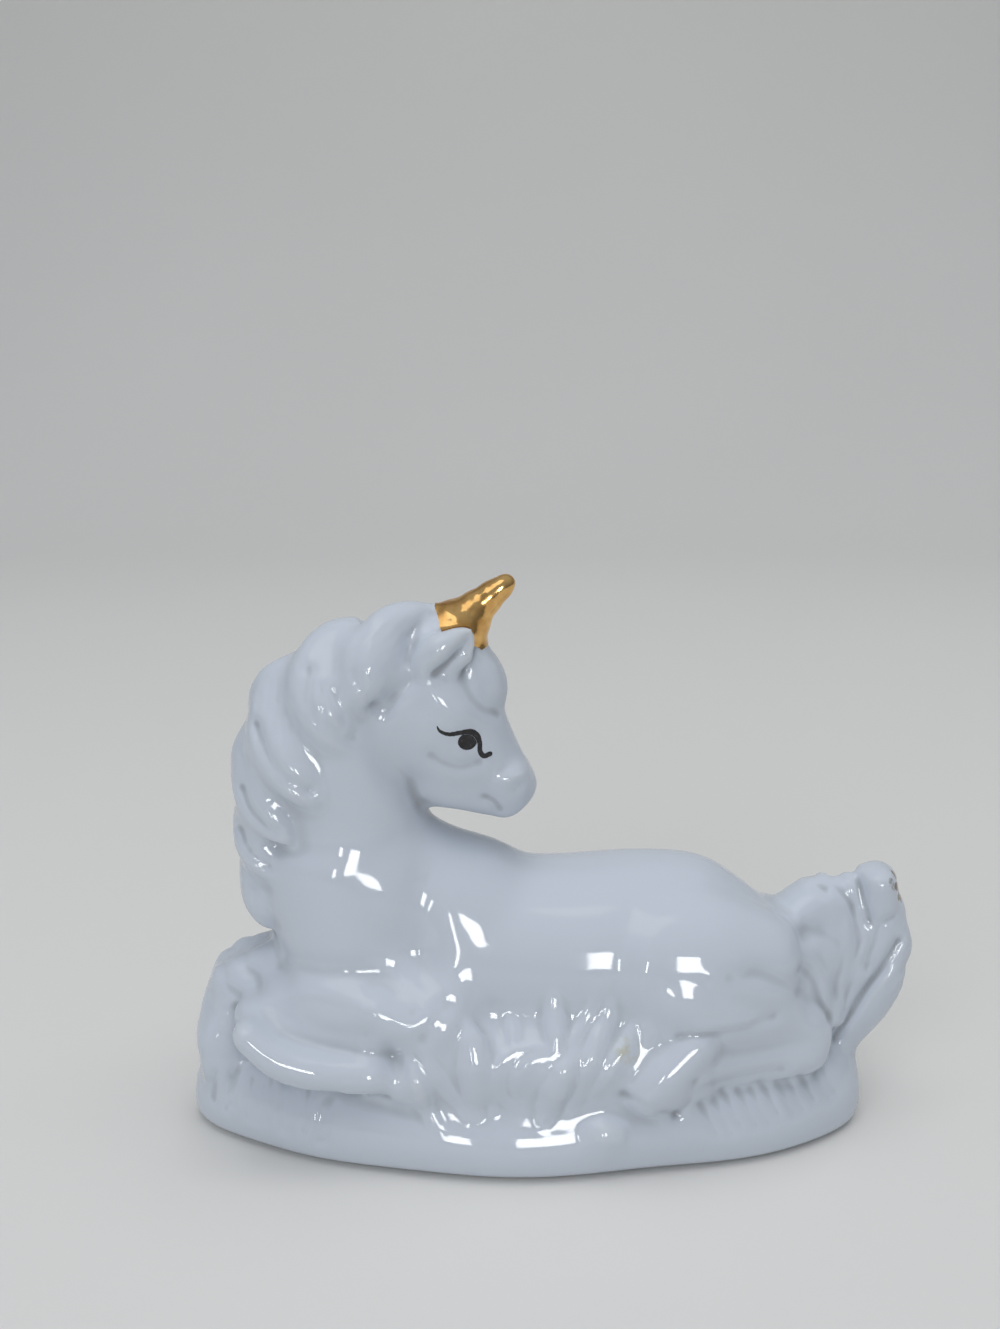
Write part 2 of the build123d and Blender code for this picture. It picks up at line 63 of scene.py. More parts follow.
# Grid step, the steps that a field reaches from its surface, that reach, and the room around the CAD box
VOXEL = 0.4
BAND = 14
FAR = BAND * VOXEL
MARGIN = 5.0
LOW_CORNER = np.array(cad_box[0]) / MM - MARGIN
GRID_SIZE = np.ceil((np.array(cad_box[1]) / MM + MARGIN - LOW_CORNER) / VOXEL).astype(int) + 1

# How widely each kind of piece melts into those before it
BLENDS = {
    "neck": 0.5,
    "torso": 5.5,
    "haunch": 5.5,
    "head": 2.4,
    "gaskin": 3.4,
    "forearm": 5.6,
    "fore_cannon": 2.0,
    "hind_cannon": 1.8,
    "hind_hoof": 1.6,
    "base_mound": 2.2,
    "ear": 1.0,
    "horn": 1.2,
    "forelock": 1.6,
    "mane_lock": 2.6,
    "tail_lock": 2.6,
    "chest_leaf": 3.0,
    "grass_blade": 0.7,
    "pebble": 1.6,
}

# Hair strands: how many lie side by side in a lock, and how deep the valleys between them are
MANE_STRANDS = (6, 0.3)
FORELOCK_STRANDS = (3, 0.25)
# Their fade towards a lock's ends, the sharpness of the valleys, and their wander: size, rate and shift
STRAND_FADE = 0.2
STRAND_SHARPNESS = 2
STRAND_WANDER = (0.16, 5.0, 2.0)
# Shift of the strands from lock to lock, and in the forelock
MANE_PHASE_STEP = 0.37
FORELOCK_PHASE = 0.5
# Places along a lock where its breadth is measured, and the least half breadth
LOCK_STATIONS = 9
LEAST_HALF_BREADTH = 0.8
# The tail's fine strands fan out from its foot, X and Z, with this angle between them
TAIL_FOOT = (47.7, 11.6)
TAIL_STRAND_ANGLE = 0.13
TAIL_STRAND_DEPTH = 0.22
TAIL_STRAND_SHARPNESS = 1.5
# Their bend as an angle and a length, the wander of their spacing, and where from the foot they fade in
TAIL_BEND = (0.13, 4.5)
TAIL_STRAND_WANDER = (0.3, 7.0)
TAIL_STRAND_FADE = (4.0, 10.0)
# Lumps of the leafy clump before the chest
CLUMP_LUMP_LENGTH = 5.2
CLUMP_LUMP_HEIGHT = 0.35
CLUMP_LUMP_WANDER = (0.8, 0.7)
CLUMP_LUMP_SHIFT = 1.0
# How much smaller the glaze leaves the pebble
PEBBLE_SINK = 0.6
# The far haunch lies lower than the near one by this many grid steps
FAR_HAUNCH_DROP = 7
# The base's foot: height of its rounded edge, and how far the edge draws in
FOOT_ROUND = (1.6, 0.9)
# Its waves: size, the half spans that they run around, count and shift of the first, count and share of the
# second, and the heights where they start and where they are full
FOOT_WAVE = 0.35
FOOT_HALF_SPANS = (51.0, 20.0)
FOOT_WAVES = (5, 0.7, 9, 0.6)
FOOT_WAVE_HEIGHTS = (8.0, 3.0)

# Horn: way along it from the brow, drift of its middle to the poll, and radius
HORN_ROOT = np.array((-11.25, 0.0, 74.03))
HORN_WAY = np.array((0.682, 0.0, 0.731))
HORN_DRIFT_WAY = np.array((-0.731, 0.0, 0.682))
HORN_SHAPE = (
    (-1.5, 0.7, 5.0),
    (0.5, 0.7, 4.7),
    (2.0, 0.75, 4.3),
    (3.6, 0.75, 3.55),
    (5.6, 0.8, 2.75),
    (7.7, 0.7, 2.2),
    (10.0, 0.44, 1.8),
    (11.5, 0.2, 1.35),
)
# Shallow spiral on the horn: length of a turn, depth, and where along the horn it fades in
HORN_TURN = 2.7
HORN_SPIRAL_DEPTH = 0.07
HORN_SPIRAL_FADE = (1.0, 3.0)
# Gilding: its lower edge along the horn, with slant and waves, the X and waves of its end by the poll, and
# the rounding of the corner between them
GOLD_EDGE = 1.9
GOLD_EDGE_SLANT = 0.9
GOLD_WAVE = 0.3
GOLD_EDGE_WAVES = (3, 0.6, 7, 0.5)
GOLD_END = -13.3
GOLD_END_WAVE_RATE = 1.6
GOLD_CORNER = 1.2
# How far from the horn's side the gilding can lie, and the room around the horn where it is worked out
GOLD_REACH = 1.0
GOLD_ROOM = 2.5

# Ear on the near side: its back lobe and its front flap from root to tip, with half widths, and its groove
# as seen from the side, with the half width, depth and distance from the middle plane where it starts
EAR_BACK = ((-14.7, -5.2, 72.0), (-12.6, -5.6, 74.0), (-10.6, -5.4, 75.4), (-8.5, -4.9, 76.9))
EAR_BACK_HALF_WIDTHS = (2.6, 2.6, 1.9, 0.5)
EAR_FLAP = ((-11.2, -4.8, 71.4), (-9.2, -5.0, 73.4), (-8.3, -4.9, 75.8))
EAR_FLAP_HALF_WIDTHS = (1.5, 1.4, 0.6)
EAR_FLATNESS = 1.5
EAR_MELT = 0.8
EAR_GROOVE = ((-13.5, 71.0), (-10.9, 73.5), (-8.6, 75.7))
EAR_GROOVE_SIZE = (0.75, 1.1)
EAR_GROOVE_START = 5.0

# Grass leaves from left to right: X and Z of points from root to tip, and the half width
GRASS_LEAVES = (
    (((-12.4, 7.1), (-14.2, 9.2), (-15.7, 13.1), (-17.4, 19.9)), 1.3),
    (((-8.5, 8.4), (-9.6, 10.8), (-12.3, 14.2), (-15.5, 19.6)), 1.2),
    (((-7.7, 9.3), (-7.7, 14.1), (-8.2, 18.7), (-9.3, 22.6)), 2.5),
    (((-1.6, 10.8), (-4.1, 12.4), (-4.9, 15.6), (-3.6, 18.0), (-0.9, 19.2), (2.7, 19.4)), 1.0),
    (((1.7, 8.3), (2.7, 12.0), (4.1, 15.3), (5.9, 18.3)), 2.1),
    (((3.6, 19.2), (3.3, 22.3), (3.1, 26.5)), 1.7),
    (((5.6, 19.8), (8.0, 22.9), (10.1, 28.2)), 1.0),
    (((6.8, 14.1), (8.9, 19.1), (10.7, 22.6), (11.2, 26.0)), 1.5),
    (((8.5, 12.5), (11.4, 16.9), (13.8, 20.0), (14.8, 22.6)), 1.3),
)
# Small leaves between them, which belong to whatever they lie on
SMALL_LEAVES = (
    (((16.0, 19.5), (16.6, 21.3), (16.7, 23.1)), 0.9),
    (((-1.7, 12.0), (-1.9, 14.1), (-1.4, 16.0), (0.2, 17.9), (2.9, 18.6)), 0.8),
    (((-2.5, 19.5), (-2.6, 21.1), (-2.7, 23.2)), 0.8),
    (((-5.5, 9.0), (-5.6, 12.0), (-6.2, 15.0)), 0.8),
    (((5.0, 9.5), (6.0, 12.0), (7.6, 14.6)), 0.9),
)
# Leaves: shares of the half width from root to tip, flatness, sink into the clay, melting of the small ones,
# points to a stretch, and the step in which the clay under a leaf is sought
LEAF_TAPER = (0.35, 0.85, 1.0, 0.85, 0.3)
LEAF_FLATNESS = 1.9
LEAF_SINK = 0.3
LEAF_MELT = 0.7
LEAF_SPANS = 4
LEAF_SEARCH_STEP = VOXEL / 4

# Soft masses that fill out the clay: points, radii, and how widely they melt in
MASSES = (
    # crest under the mane, rump between the haunches
    (((-30.0, -2.2, 69.6), (-34.8, -2.4, 63.6), (-37.2, -3.2, 57.0), (-38.2, -3.2, 50.5)),
     (3.0, 3.0, 2.8, 2.6), 2.0),
    (((15.0, 0.0, 33.6), (22.6, 0.0, 34.5), (26.3, 0.0, 32.9), (30.3, 0.0, 29.8), (34.0, 0.0, 26.8)),
     (6.1, 5.7), 3.0),
    # throat, belly bank, muzzle, chin and jaw
    (((-19.0, 0.0, 37.6), (-9.5, 0.0, 35.2)), (8.6, 7.8), 4.5),
    (((-13.0, -11.6, 15.0), (3.0, -12.2, 15.6), (20.0, -11.6, 15.0)), (5.4, 6.1, 5.4), 4.5),
    (((-2.9, -2.3, 54.3), (-3.6, -2.0, 53.2)), (2.7, 2.5), 1.4),
    (((-4.6, -0.8, 51.6), (-6.6, -1.0, 52.4)), (2.3, 2.2), 1.4),
    (((-14.5, -1.6, 53.4), (-10.5, -1.8, 52.8), (-7.0, -1.5, 51.9)), (3.2, 2.9, 2.6), 1.6),
    # folded lower foreleg, hind foot and the clump before the chest
    (((-40.0, -14.3, 20.0), (-36.0, -15.0, 17.2), (-30.0, -15.6, 15.6), (-23.0, -15.8, 14.9)),
     (2.6, 3.0, 3.1, 3.0), 2.0),
    (((23.2, -14.8, 19.0), (19.1, -15.8, 15.3), (16.6, -16.2, 12.7)), (3.2, 3.5, 3.4), 1.2),
    (((-45.0, -2.5, 23.0), (-41.5, -2.5, 24.8), (-38.0, -2.5, 25.6)), (2.6, 2.7, 2.8), 2.5),
    (((-43.0, -3.0, 21.6), (-40.0, -4.5, 21.6), (-37.0, -5.0, 22.0)), (3.0, 3.2, 3.2), 2.5),
    (((-44.8, -4.0, 18.0), (-46.0, -4.5, 14.5), (-46.2, -5.0, 11.0)), (2.6, 2.8, 3.0), 3.0),
    # tail: its body, its side by the haunch, its middle, its top and the two locks at its back
    (((37.5, -1.5, 29.5), (40.0, -1.8, 26.0), (42.6, -1.8, 22.0), (45.2, -1.5, 17.5)),
     (3.4, 3.6, 3.5, 3.0), 3.0),
    (((36.4, -3.5, 28.2), (38.0, -4.0, 26.0), (40.4, -4.0, 22.5), (43.0, -3.5, 18.6)),
     (3.2, 3.5, 3.3, 2.8), 4.5),
    (((40.4, -1.5, 30.4), (43.5, -1.6, 30.2), (45.7, -1.6, 28.2), (46.6, -1.6, 24.5)),
     (2.6, 2.9, 3.0, 2.7), 2.5),
    (((38.4, -1.0, 30.4), (40.9, -1.0, 33.4), (43.1, -1.0, 34.8)), (2.2, 2.6, 2.3), 2.5),
    (((51.9, -1.0, 37.6), (52.3, -1.0, 32.4), (51.4, -1.0, 27.8)), (2.5, 2.6, 2.2), 1.5),
    (((54.1, -1.0, 29.1), (52.3, -1.0, 23.7), (50.2, -1.0, 18.0)), (2.1, 2.1, 1.8), 1.5),
)

# Soft lines pressed into both sides as seen from the side: X and Z of points, half width, depth, and the
# distance from the middle plane where they start. A depth below 0 raises a ridge or eases a line's end.
PRESSED_LINES = (
    # mouth, nostril, lower lid, eye socket, brow, muzzle ridge, forelock's edge and jaw
    (((-6.6, 52.5), (-5.4, 51.9), (-4.8, 51.1), (-4.4, 50.2)), 0.7, 0.5, 0.0),
    (((-2.3, 53.5), (-1.6, 54.3)), 0.9, 0.4, 0.0),
    (((-14.0, 59.3), (-11.9, 58.0), (-9.7, 57.5), (-7.5, 58.0)), 1.0, 0.5, 0.0),
    (((-9.3, 61.3), (-8.4, 61.2)), 2.3, 0.35, 0.0),
    (((-13.9, 69.0), (-11.8, 67.0), (-9.9, 65.3)), 1.7, -0.45, 2.0),
    (((-4.4, 55.1), (-2.9, 55.4), (-1.5, 55.5)), 0.8, -0.3, 0.0),
    (((-8.5, 73.9), (-9.3, 72.0), (-9.7, 70.2), (-8.5, 67.5), (-6.8, 65.5), (-4.6, 64.3)), 0.8, 0.4, 2.0),
    (((-22.1, 65.8), (-21.7, 61.6), (-19.9, 57.0), (-17.5, 54.2), (-15.6, 51.6)), 2.0, 0.75, 2.0),
    # creases between and in the mane's locks
    (((-38.6, 63.4), (-37.4, 60.8), (-36.3, 59.0), (-34.5, 57.0), (-32.4, 55.7), (-31.0, 54.9)),
     0.9, 0.7, 1.0),
    (((-41.0, 54.0), (-39.7, 51.4), (-37.5, 49.2), (-36.0, 48.4)), 0.9, 0.75, 1.0),
    (((-41.8, 47.4), (-40.6, 45.3), (-38.9, 43.6), (-37.6, 42.8)), 0.8, 0.65, 1.0),
    (((-30.9, 71.4), (-31.0, 67.6), (-29.0, 64.4), (-26.5, 62.4), (-25.0, 62.1)), 1.0, 0.5, 1.0),
    (((-29.0, 69.2), (-28.3, 65.3), (-26.8, 63.4)), 0.5, 0.3, 1.0),
    (((-27.3, 68.8), (-25.9, 63.7)), 0.5, 0.3, 1.0),
    (((-24.0, 71.1), (-23.4, 69.5), (-21.6, 67.0)), 0.9, 0.25, 1.0),
    (((-14.0, 78.7), (-16.5, 76.5), (-17.1, 73.3), (-16.3, 71.1), (-17.5, 68.9), (-20.4, 66.0)),
     1.2, 0.6, 1.0),
    (((-23.2, 77.7), (-24.2, 74.9), (-24.6, 71.8), (-24.0, 70.2)), 0.9, 0.3, 0.0),
    # creases between the tail's locks
    (((40.4, 31.8), (43.4, 31.0), (45.8, 28.9), (46.3, 25.9), (45.5, 22.3), (45.0, 19.6)), 1.4, 0.6, 0.3),
    (((38.5, 28.2), (41.1, 25.3), (42.8, 21.6), (44.5, 17.9), (45.8, 15.2)), 0.9, 0.5, 0.3),
    (((41.8, 38.1), (43.7, 37.0)), 0.7, 0.5, 0.3),
    (((45.1, 37.7), (47.4, 34.9), (48.5, 31.8), (48.6, 27.9), (47.8, 23.3), (47.2, 18.6)), 0.8, 0.45, 0.3),
    (((48.1, 40.8), (48.8, 37.0), (50.3, 32.2)), 0.6, 0.6, 0.0),
    (((54.8, 29.2), (52.8, 25.8), (50.1, 21.3), (48.2, 17.3), (46.3, 13.5)), 0.7, 0.9, 0.0),
    (((53.8, 33.1), (51.8, 32.2), (50.8, 29.2), (50.1, 25.3)), 0.7, 0.5, 0.0),
    # foreleg, elbow, shoulder and the clump's edge
    (((-43.4, 20.4), (-42.2, 17.8), (-40.5, 16.4), (-37.9, 14.1), (-35.4, 11.3)), 1.1, 0.9, 6.0),
    (((-39.0, 24.1), (-35.2, 22.9), (-31.1, 21.8), (-27.0, 21.0), (-23.6, 21.4)), 1.6, 0.45, 6.0),
    (((-40.0, 27.0), (-34.0, 29.0), (-27.6, 29.4), (-21.0, 28.2), (-16.8, 24.8)), 1.7, 0.45, 6.0),
    (((-39.0, 24.8), (-34.0, 26.2), (-27.6, 26.5), (-22.0, 25.2)), 1.8, -0.4, 6.0),
    (((-35.4, 11.6), (-31.0, 12.4), (-27.6, 12.8), (-26.1, 12.0), (-23.0, 12.4), (-20.4, 12.2)),
     0.9, 0.6, 6.0),
    (((-20.3, 20.1), (-19.3, 17.5), (-18.1, 14.3), (-17.1, 12.9)), 1.3, 0.35, 6.0),
    (((-12.1, 25.0), (-13.4, 23.3), (-15.0, 21.5)), 1.5, 0.5, 6.0),
    (((-15.5, 41.0), (-15.5, 37.5), (-15.5, 31.9), (-14.2, 26.2)), 3.0, 0.7, 5.0),
    (((-36.8, 32.8), (-36.6, 29.6), (-35.5, 26.8)), 2.0, 0.5, 2.0),
    (((-43.4, 28.9), (-42.0, 26.2), (-39.8, 24.8)), 0.9, 0.35, 1.0),
    (((-46.0, 25.6), (-44.6, 23.4), (-42.6, 22.6)), 0.8, 0.3, 1.0),
    # hind leg: above the gaskin, below the stifle, under the leg, and around the foot
    (((27.5, 29.5), (31.6, 29.4), (35.1, 27.7), (37.5, 25.9), (40.6, 22.9), (43.4, 19.4)), 1.4, 0.6, 6.0),
    (((26.9, 29.4), (28.4, 29.6)), 1.8, -0.38, 6.0),
    (((20.7, 21.4), (25.8, 21.9), (30.4, 22.1), (34.3, 22.6)), 0.8, 0.28, 9.0),
    (((23.2, 22.9), (26.9, 22.8), (30.6, 23.0)), 0.7, -0.3, 9.0),
    (((24.5, 13.2), (30.0, 13.6), (36.0, 14.0)), 1.3, 0.7, 9.0),
    (((13.0, 12.9), (15.3, 12.2), (18.2, 10.6), (20.4, 9.3)), 0.8, 0.4, 9.0),
    (((20.6, 9.2), (22.4, 11.7), (23.0, 14.9)), 0.9, 0.4, 9.0),
)
# Short grass strokes on the base's sides: first X, step, count, top Z, rise of the tops, reach and depth
BASE_STROKES = (
    (-46.5, 1.8, 11, 10.6, -0.06, (-0.7, -5.0), 0.4),
    (24.0, 1.9, 11, 10.4, 0.09, (2.6, -4.6), 0.32),
)
STROKE_HALF_WIDTH = 0.65
STROKE_START = 5.0
# Half widths from the middle of a line or stroke where its effect is cut off
PRESS_REACH = 3
# How far strokes and their tops stray from even spacing, and how fast that changes from one to the next
STROKE_STRAY = (0.4, 2.3)
STROKE_TOP_STRAY = (0.5, 4.1)

# Vent in the floor, and the rim around it that its plug covers
VENT_RADIUS = 4.0
VENT_DEPTH = 4.0
VENT_RIM = 1.0
# How far from the clay a way in from outside has to keep, and the grid steps from there up to the clay
LEAST_PASSAGE = 0.15
PASSAGE_STEPS = 2
# Passes that settle the skin's points on the clay's surface, and how far under it the seams keep
SETTLING_PASSES = 2
SEAM_COVER = 0.4
# Sampling stays this share of a step inside the grid's last cell, and no slope counts as less than this
INSIDE_LAST_CELL = 0.001
LEAST_SLOPE = 1e-9


def kind_of(name):
    """The kind of a piece: its name without its side and its number."""
    for side in ("near_", "far_"):
        name = name.removeprefix(side)
    return name.rstrip("0123456789_")


def grid_steps(points):
    """Points in millimetres as steps of the grid."""
    return (points - LOW_CORNER) / VOXEL


def box_around(low, high, margin):
    """The part of the grid around two corners."""
    start = np.maximum(np.floor(grid_steps(np.array(low) - margin)).astype(int), 0)
    stop = np.minimum(np.ceil(grid_steps(np.array(high) + margin)).astype(int) + 1, GRID_SIZE)
    return tuple(slice(int(a), int(b)) for a, b in zip(start, stop))


def places(box):
    """X, Y and Z of the grid points in a box, each shaped to spread over the other two."""
    found = []
    for axis, part in enumerate(box):
        shape = [1, 1, 1]
        shape[axis] = -1
        found.append((LOW_CORNER[axis] + VOXEL * np.arange(part.start, part.stop)).reshape(shape))
    return found


def node_mesh(name):
    """Points in millimetres and triangles of a CAD piece."""
    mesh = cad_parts[name].data
    points = np.empty(len(mesh.vertices) * 3, np.float32)
    mesh.vertices.foreach_get("co", points)
    mesh.calc_loop_triangles()
    corners = np.empty(len(mesh.loop_triangles) * 3, np.int32)
    mesh.loop_triangles.foreach_get("vertices", corners)
    return points.reshape(-1, 3) / MM, corners.reshape(-1, 3).astype(np.uint32)


def node_field(points, triangles):
    """The grid box around a CAD piece, and the signed distance to the piece there."""
    level_set = vdb.FloatGrid.createLevelSetFromPolygons(
        grid_steps(points).astype(np.float32),
        triangles=triangles,
        transform=vdb.createLinearTransform(1.0),
        halfWidth=BAND,
    )
    box = box_around(points.min(0), points.max(0), FAR)
    field = np.empty([part.stop - part.start for part in box], np.float32)
    level_set.copyToArray(field, ijk=tuple(part.start for part in box))
    return box, field * VOXEL


def smooth_line(points, spans=6):
    """Points along a smooth curve through the given points."""
    points = np.array(points, float)
    ends = np.concatenate([2 * points[:1] - points[1:2], points, 2 * points[-1:] - points[-2:-1]])
    line = []
    for before, start, end, after in zip(ends, ends[1:], ends[2:], ends[3:]):
        for share in np.arange(spans) / spans:
            bend = 2 * before - 5 * start + 4 * end - after
            twist = 3 * start - before - 3 * end + after
            line.append(start + ((end - before) * share + bend * share**2 + twist * share**3) / 2)
    return np.array(line + [points[-1]])


def stretched(values, count):
    """A row of values spread evenly over more points."""
    return np.interp(np.linspace(0, 1, count), np.linspace(0, 1, len(values)), values)


def ramp(value, start, full):
    """A share that grows from 0 at one value to 1 at another, and stays so beyond them."""
    return np.clip((value - start) / (full - start), 0, 1)


def double_wave(turn, count, shift, second_count, second_share):
    """Two waves around an axis, the second one smaller."""
    return np.sin(count * turn + shift) + second_share * np.sin(second_count * turn)


def rod_field(line, radii, place, flatness=1.0):
    """Distance to a rod with a radius at each point of its line, thinner along Y if it is flat."""
    x, y, z = place
    nearest = None
    for start, end, first, last in zip(line, line[1:], radii, radii[1:]):
        way = end - start
        share = ((x - start[0]) * way[0] + (y - start[1]) * way[1] + (z - start[2]) * way[2]) / (way @ way)
        share = np.clip(share, 0, 1)
        across = (y - start[1] - share * way[1]) * flatness
        square = (x - start[0] - share * way[0]) ** 2 + across**2 + (z - start[2] - share * way[2]) ** 2
        distance = np.sqrt(square) - first - share * (last - first)
        nearest = distance if nearest is None else np.minimum(nearest, distance)
    return nearest


def line_distance(points, x, z, half_widths=None):
    """Distance to a line as seen from the side, or to its edge where it has half widths."""
    radii = np.zeros(len(points)) if half_widths is None else half_widths
    return rod_field(np.insert(points, 1, 0, axis=1), radii, (x, 0, z))


def press(points, half_width, depth, low_side):
    """Presses a soft line into the clay's sides, beyond a distance from the middle plane."""
    line = smooth_line(points)
    low = (line[:, 0].min(), LOW_CORNER[1], line[:, 1].min())
    high = (line[:, 0].max(), -LOW_CORNER[1], line[:, 1].max())
    box = box_around(low, high, PRESS_REACH * half_width)
    x, y, z = places(box)
    side = np.clip(np.abs(y) - low_side, 0, 1)
    clay[box] += depth * side * np.exp(-((line_distance(line, x, z) / half_width) ** 2))


def lock_coordinates(points, box):
    """Way along a lock, 0 to 1, and place across it, -1 to 1, as seen from the side."""
    seen = points[:, [0, 2]]
    middle = (seen.min(0) + seen.max(0)) / 2
    length_way, breadth_way = np.linalg.svd(seen - seen.mean(0), full_matrices=False)[2]
    along = (seen - middle) @ length_way
    across = (seen - middle) @ breadth_way
    stations = np.linspace(along.min(), along.max(), LOCK_STATIONS)
    nearest = np.abs(along[:, None] - stations).argmin(1)
    lows = np.array([across[nearest == i].min() for i in range(LOCK_STATIONS)])
    highs = np.array([across[nearest == i].max() for i in range(LOCK_STATIONS)])
    x, _, z = places(box)
    grid_along = (x - middle[0]) * length_way[0] + (z - middle[1]) * length_way[1]
    grid_across = (x - middle[0]) * breadth_way[0] + (z - middle[1]) * breadth_way[1]
    centre = np.interp(grid_along, stations, (lows + highs) / 2)
    half_breadth = np.maximum(np.interp(grid_along, stations, (highs - lows) / 2), LEAST_HALF_BREADTH)
    way = (grid_along - stations[0]) / (stations[-1] - stations[0])
    return way, (grid_across - centre) / half_breadth


def strands(way, across, count, depth, phase):
    """Valleys between the strands of a lock, which run together towards its ends."""
    size, rate, shift = STRAND_WANDER
    lane = across * count / 2 + phase + size * np.sin(rate * way + shift * phase)
    valley = (1 - np.abs(np.sin(np.pi * lane))) ** STRAND_SHARPNESS
    fade = np.clip(np.minimum(way, 1 - way) / STRAND_FADE, 0, 1)
    return depth * valley * fade


def tail_strands(box):
    """Valleys that fan out from the tail's foot, with a gentle double bend."""
    x, _, z = places(box)
    reach = np.hypot(x - TAIL_FOOT[0], z - TAIL_FOOT[1])
    bend, bend_length = TAIL_BEND
    angle = np.arctan2(x - TAIL_FOOT[0], z - TAIL_FOOT[1]) + bend * np.sin(reach / bend_length)
    wander, wander_rate = TAIL_STRAND_WANDER
    lane = angle / TAIL_STRAND_ANGLE + wander * np.sin(wander_rate * angle)
    valley = (1 - np.abs(np.sin(np.pi * lane))) ** TAIL_STRAND_SHARPNESS
    return TAIL_STRAND_DEPTH * valley * ramp(reach, *TAIL_STRAND_FADE)


def clump_lumps(box):
    """Small lumps all over the leafy clump."""
    x, y, z = places(box)
    turn = 2 * math.pi / CLUMP_LUMP_LENGTH
    lumps = np.sin(turn * x + CLUMP_LUMP_WANDER[0] * np.sin(z)) + np.sin(turn * y + CLUMP_LUMP_SHIFT)
    lumps = lumps + np.sin(turn * z + CLUMP_LUMP_WANDER[1] * np.cos(x))
    return CLUMP_LUMP_HEIGHT / 2 * lumps


def melt(a, b, width):
    """Joins two distance fields with a soft fillet."""
    closeness = np.clip(width - np.abs(a - b), 0, None) / width
    return np.minimum(a, b) - closeness**2 * width / 4


def soften(field):
    """Rounds a field a little, as glaze rounds the clay under it."""
    for axis in range(3):
        field = field * 0.5 + (np.roll(field, -1, axis) + np.roll(field, 1, axis)) * 0.25
    return field


def reached_from_outside(free):
    """The free grid points that a way through free points joins to the grid's edge."""
    reached = np.zeros_like(free)
    for axis in range(3):
        np.moveaxis(reached, axis, 0)[[0, -1]] = np.moveaxis(free, axis, 0)[[0, -1]]
    count = 0
    while count != reached.sum():
        count = reached.sum()
        for axis in range(3):
            open_way = np.moveaxis(free, axis, 0)
            found = np.moveaxis(reached, axis, 0)
            for i in range(1, len(found)):
                found[i] |= found[i - 1] & open_way[i]
            for i in range(len(found) - 2, -1, -1):
                found[i] |= found[i + 1] & open_way[i]
    return reached


def grown(region):
    """A region and the grid points beside it."""
    wider = region.copy()
    for axis in range(3):
        wider |= np.roll(region, 1, axis) | np.roll(region, -1, axis)
    return wider


def sample(array, points):
    """Values of a grid array at points given in grid steps, between its grid points."""
    points = np.clip(points, 0, np.array(array.shape) - 1 - INSIDE_LAST_CELL)
    cell = np.floor(points).astype(int)
    share = points - cell
    total = np.zeros(len(points))
    for corner in np.ndindex(2, 2, 2):
        weight = np.prod(np.where(corner, share, 1 - share), axis=1)
        total += weight * array[tuple((cell + corner).T)]
    return total


def clay_value(points):
    """The clay's field at points in millimetres."""
    return sample(clay, grid_steps(points))


def boxed_rod(line, radii, flatness=1.0):
    """The grid box around a rod, and the distance to the rod there."""
    box = box_around(line.min(0), line.max(0), max(radii) + FAR)
    return box, np.minimum(rod_field(line, radii, places(box), flatness), FAR).astype(np.float32)


def smooth_rod(points, radii):
    """The grid box and the distance of a rod along a smooth curve."""
    line = smooth_line(points)
    return boxed_rod(line, stretched(radii, len(line)))


def foot_edge(box):
    """How far the base's lower edge draws in, rounded and a little wavy."""
    x, y, z = places(box)
    height, inset = FOOT_ROUND
    turn = np.arctan2(y / FOOT_HALF_SPANS[1], x / FOOT_HALF_SPANS[0])
    wave = FOOT_WAVE * double_wave(turn, *FOOT_WAVES) * ramp(z, *FOOT_WAVE_HEIGHTS)
    return inset * np.clip(1 - z / height, 0, 1) ** 2 + wave


def ear_field(side):
    """Box, plain field and grooved field of the ear on one side, 1 for near."""
    lobes = []
    for path, half_widths in ((EAR_BACK, EAR_BACK_HALF_WIDTHS), (EAR_FLAP, EAR_FLAP_HALF_WIDTHS)):
        line = smooth_line([(x, side * y, z) for x, y, z in path])
        lobes.append((line, stretched(half_widths, len(line))))
    corners = np.concatenate([line for line, _ in lobes])
    box = box_around(corners.min(0), corners.max(0), max(EAR_BACK_HALF_WIDTHS) + FAR)
    x, y, z = places(box)
    back, flap = (rod_field(line, sizes, (x, y, z), EAR_FLATNESS) for line, sizes in lobes)
    plain = np.minimum(melt(back, flap, EAR_MELT), FAR).astype(np.float32)
    width, depth = EAR_GROOVE_SIZE
    groove = np.exp(-((line_distance(smooth_line(EAR_GROOVE), x, z) / width) ** 2))
    return box, plain, plain + depth * groove * np.clip(-side * y - EAR_GROOVE_START, 0, 1)


def leaf_field(path, half_width):
    """Box and field of a flat leaf that lies on the clay's near side."""
    line = smooth_line(path, LEAF_SPANS)
    rows = np.arange(LOW_CORNER[1], 0, LEAF_SEARCH_STEP)
    seated = []
    for x, z in line:
        column = np.column_stack([np.full_like(rows, x), rows, np.full_like(rows, z)])
        inside = clay_value(column) < 0
        seated.append((x, rows[inside.argmax()] + LEAF_SINK, z))
    line = np.array(seated)
    return boxed_rod(line, half_width * stretched(LEAF_TAPER, len(line)), LEAF_FLATNESS)


def horn_points():
    """The horn's middle line and radii."""
    line = [HORN_ROOT + along * HORN_WAY + drift * HORN_DRIFT_WAY for along, drift, _ in HORN_SHAPE]
    return line, [radius for _, _, radius in HORN_SHAPE]


def horn_coordinates(x, z):
    """Way along the horn from its root, and drift towards the poll."""
    along = (x - HORN_ROOT[0]) * HORN_WAY[0] + (z - HORN_ROOT[2]) * HORN_WAY[2]
    drift = (x - HORN_ROOT[0]) * HORN_DRIFT_WAY[0] + (z - HORN_ROOT[2]) * HORN_DRIFT_WAY[2]
    return along, drift


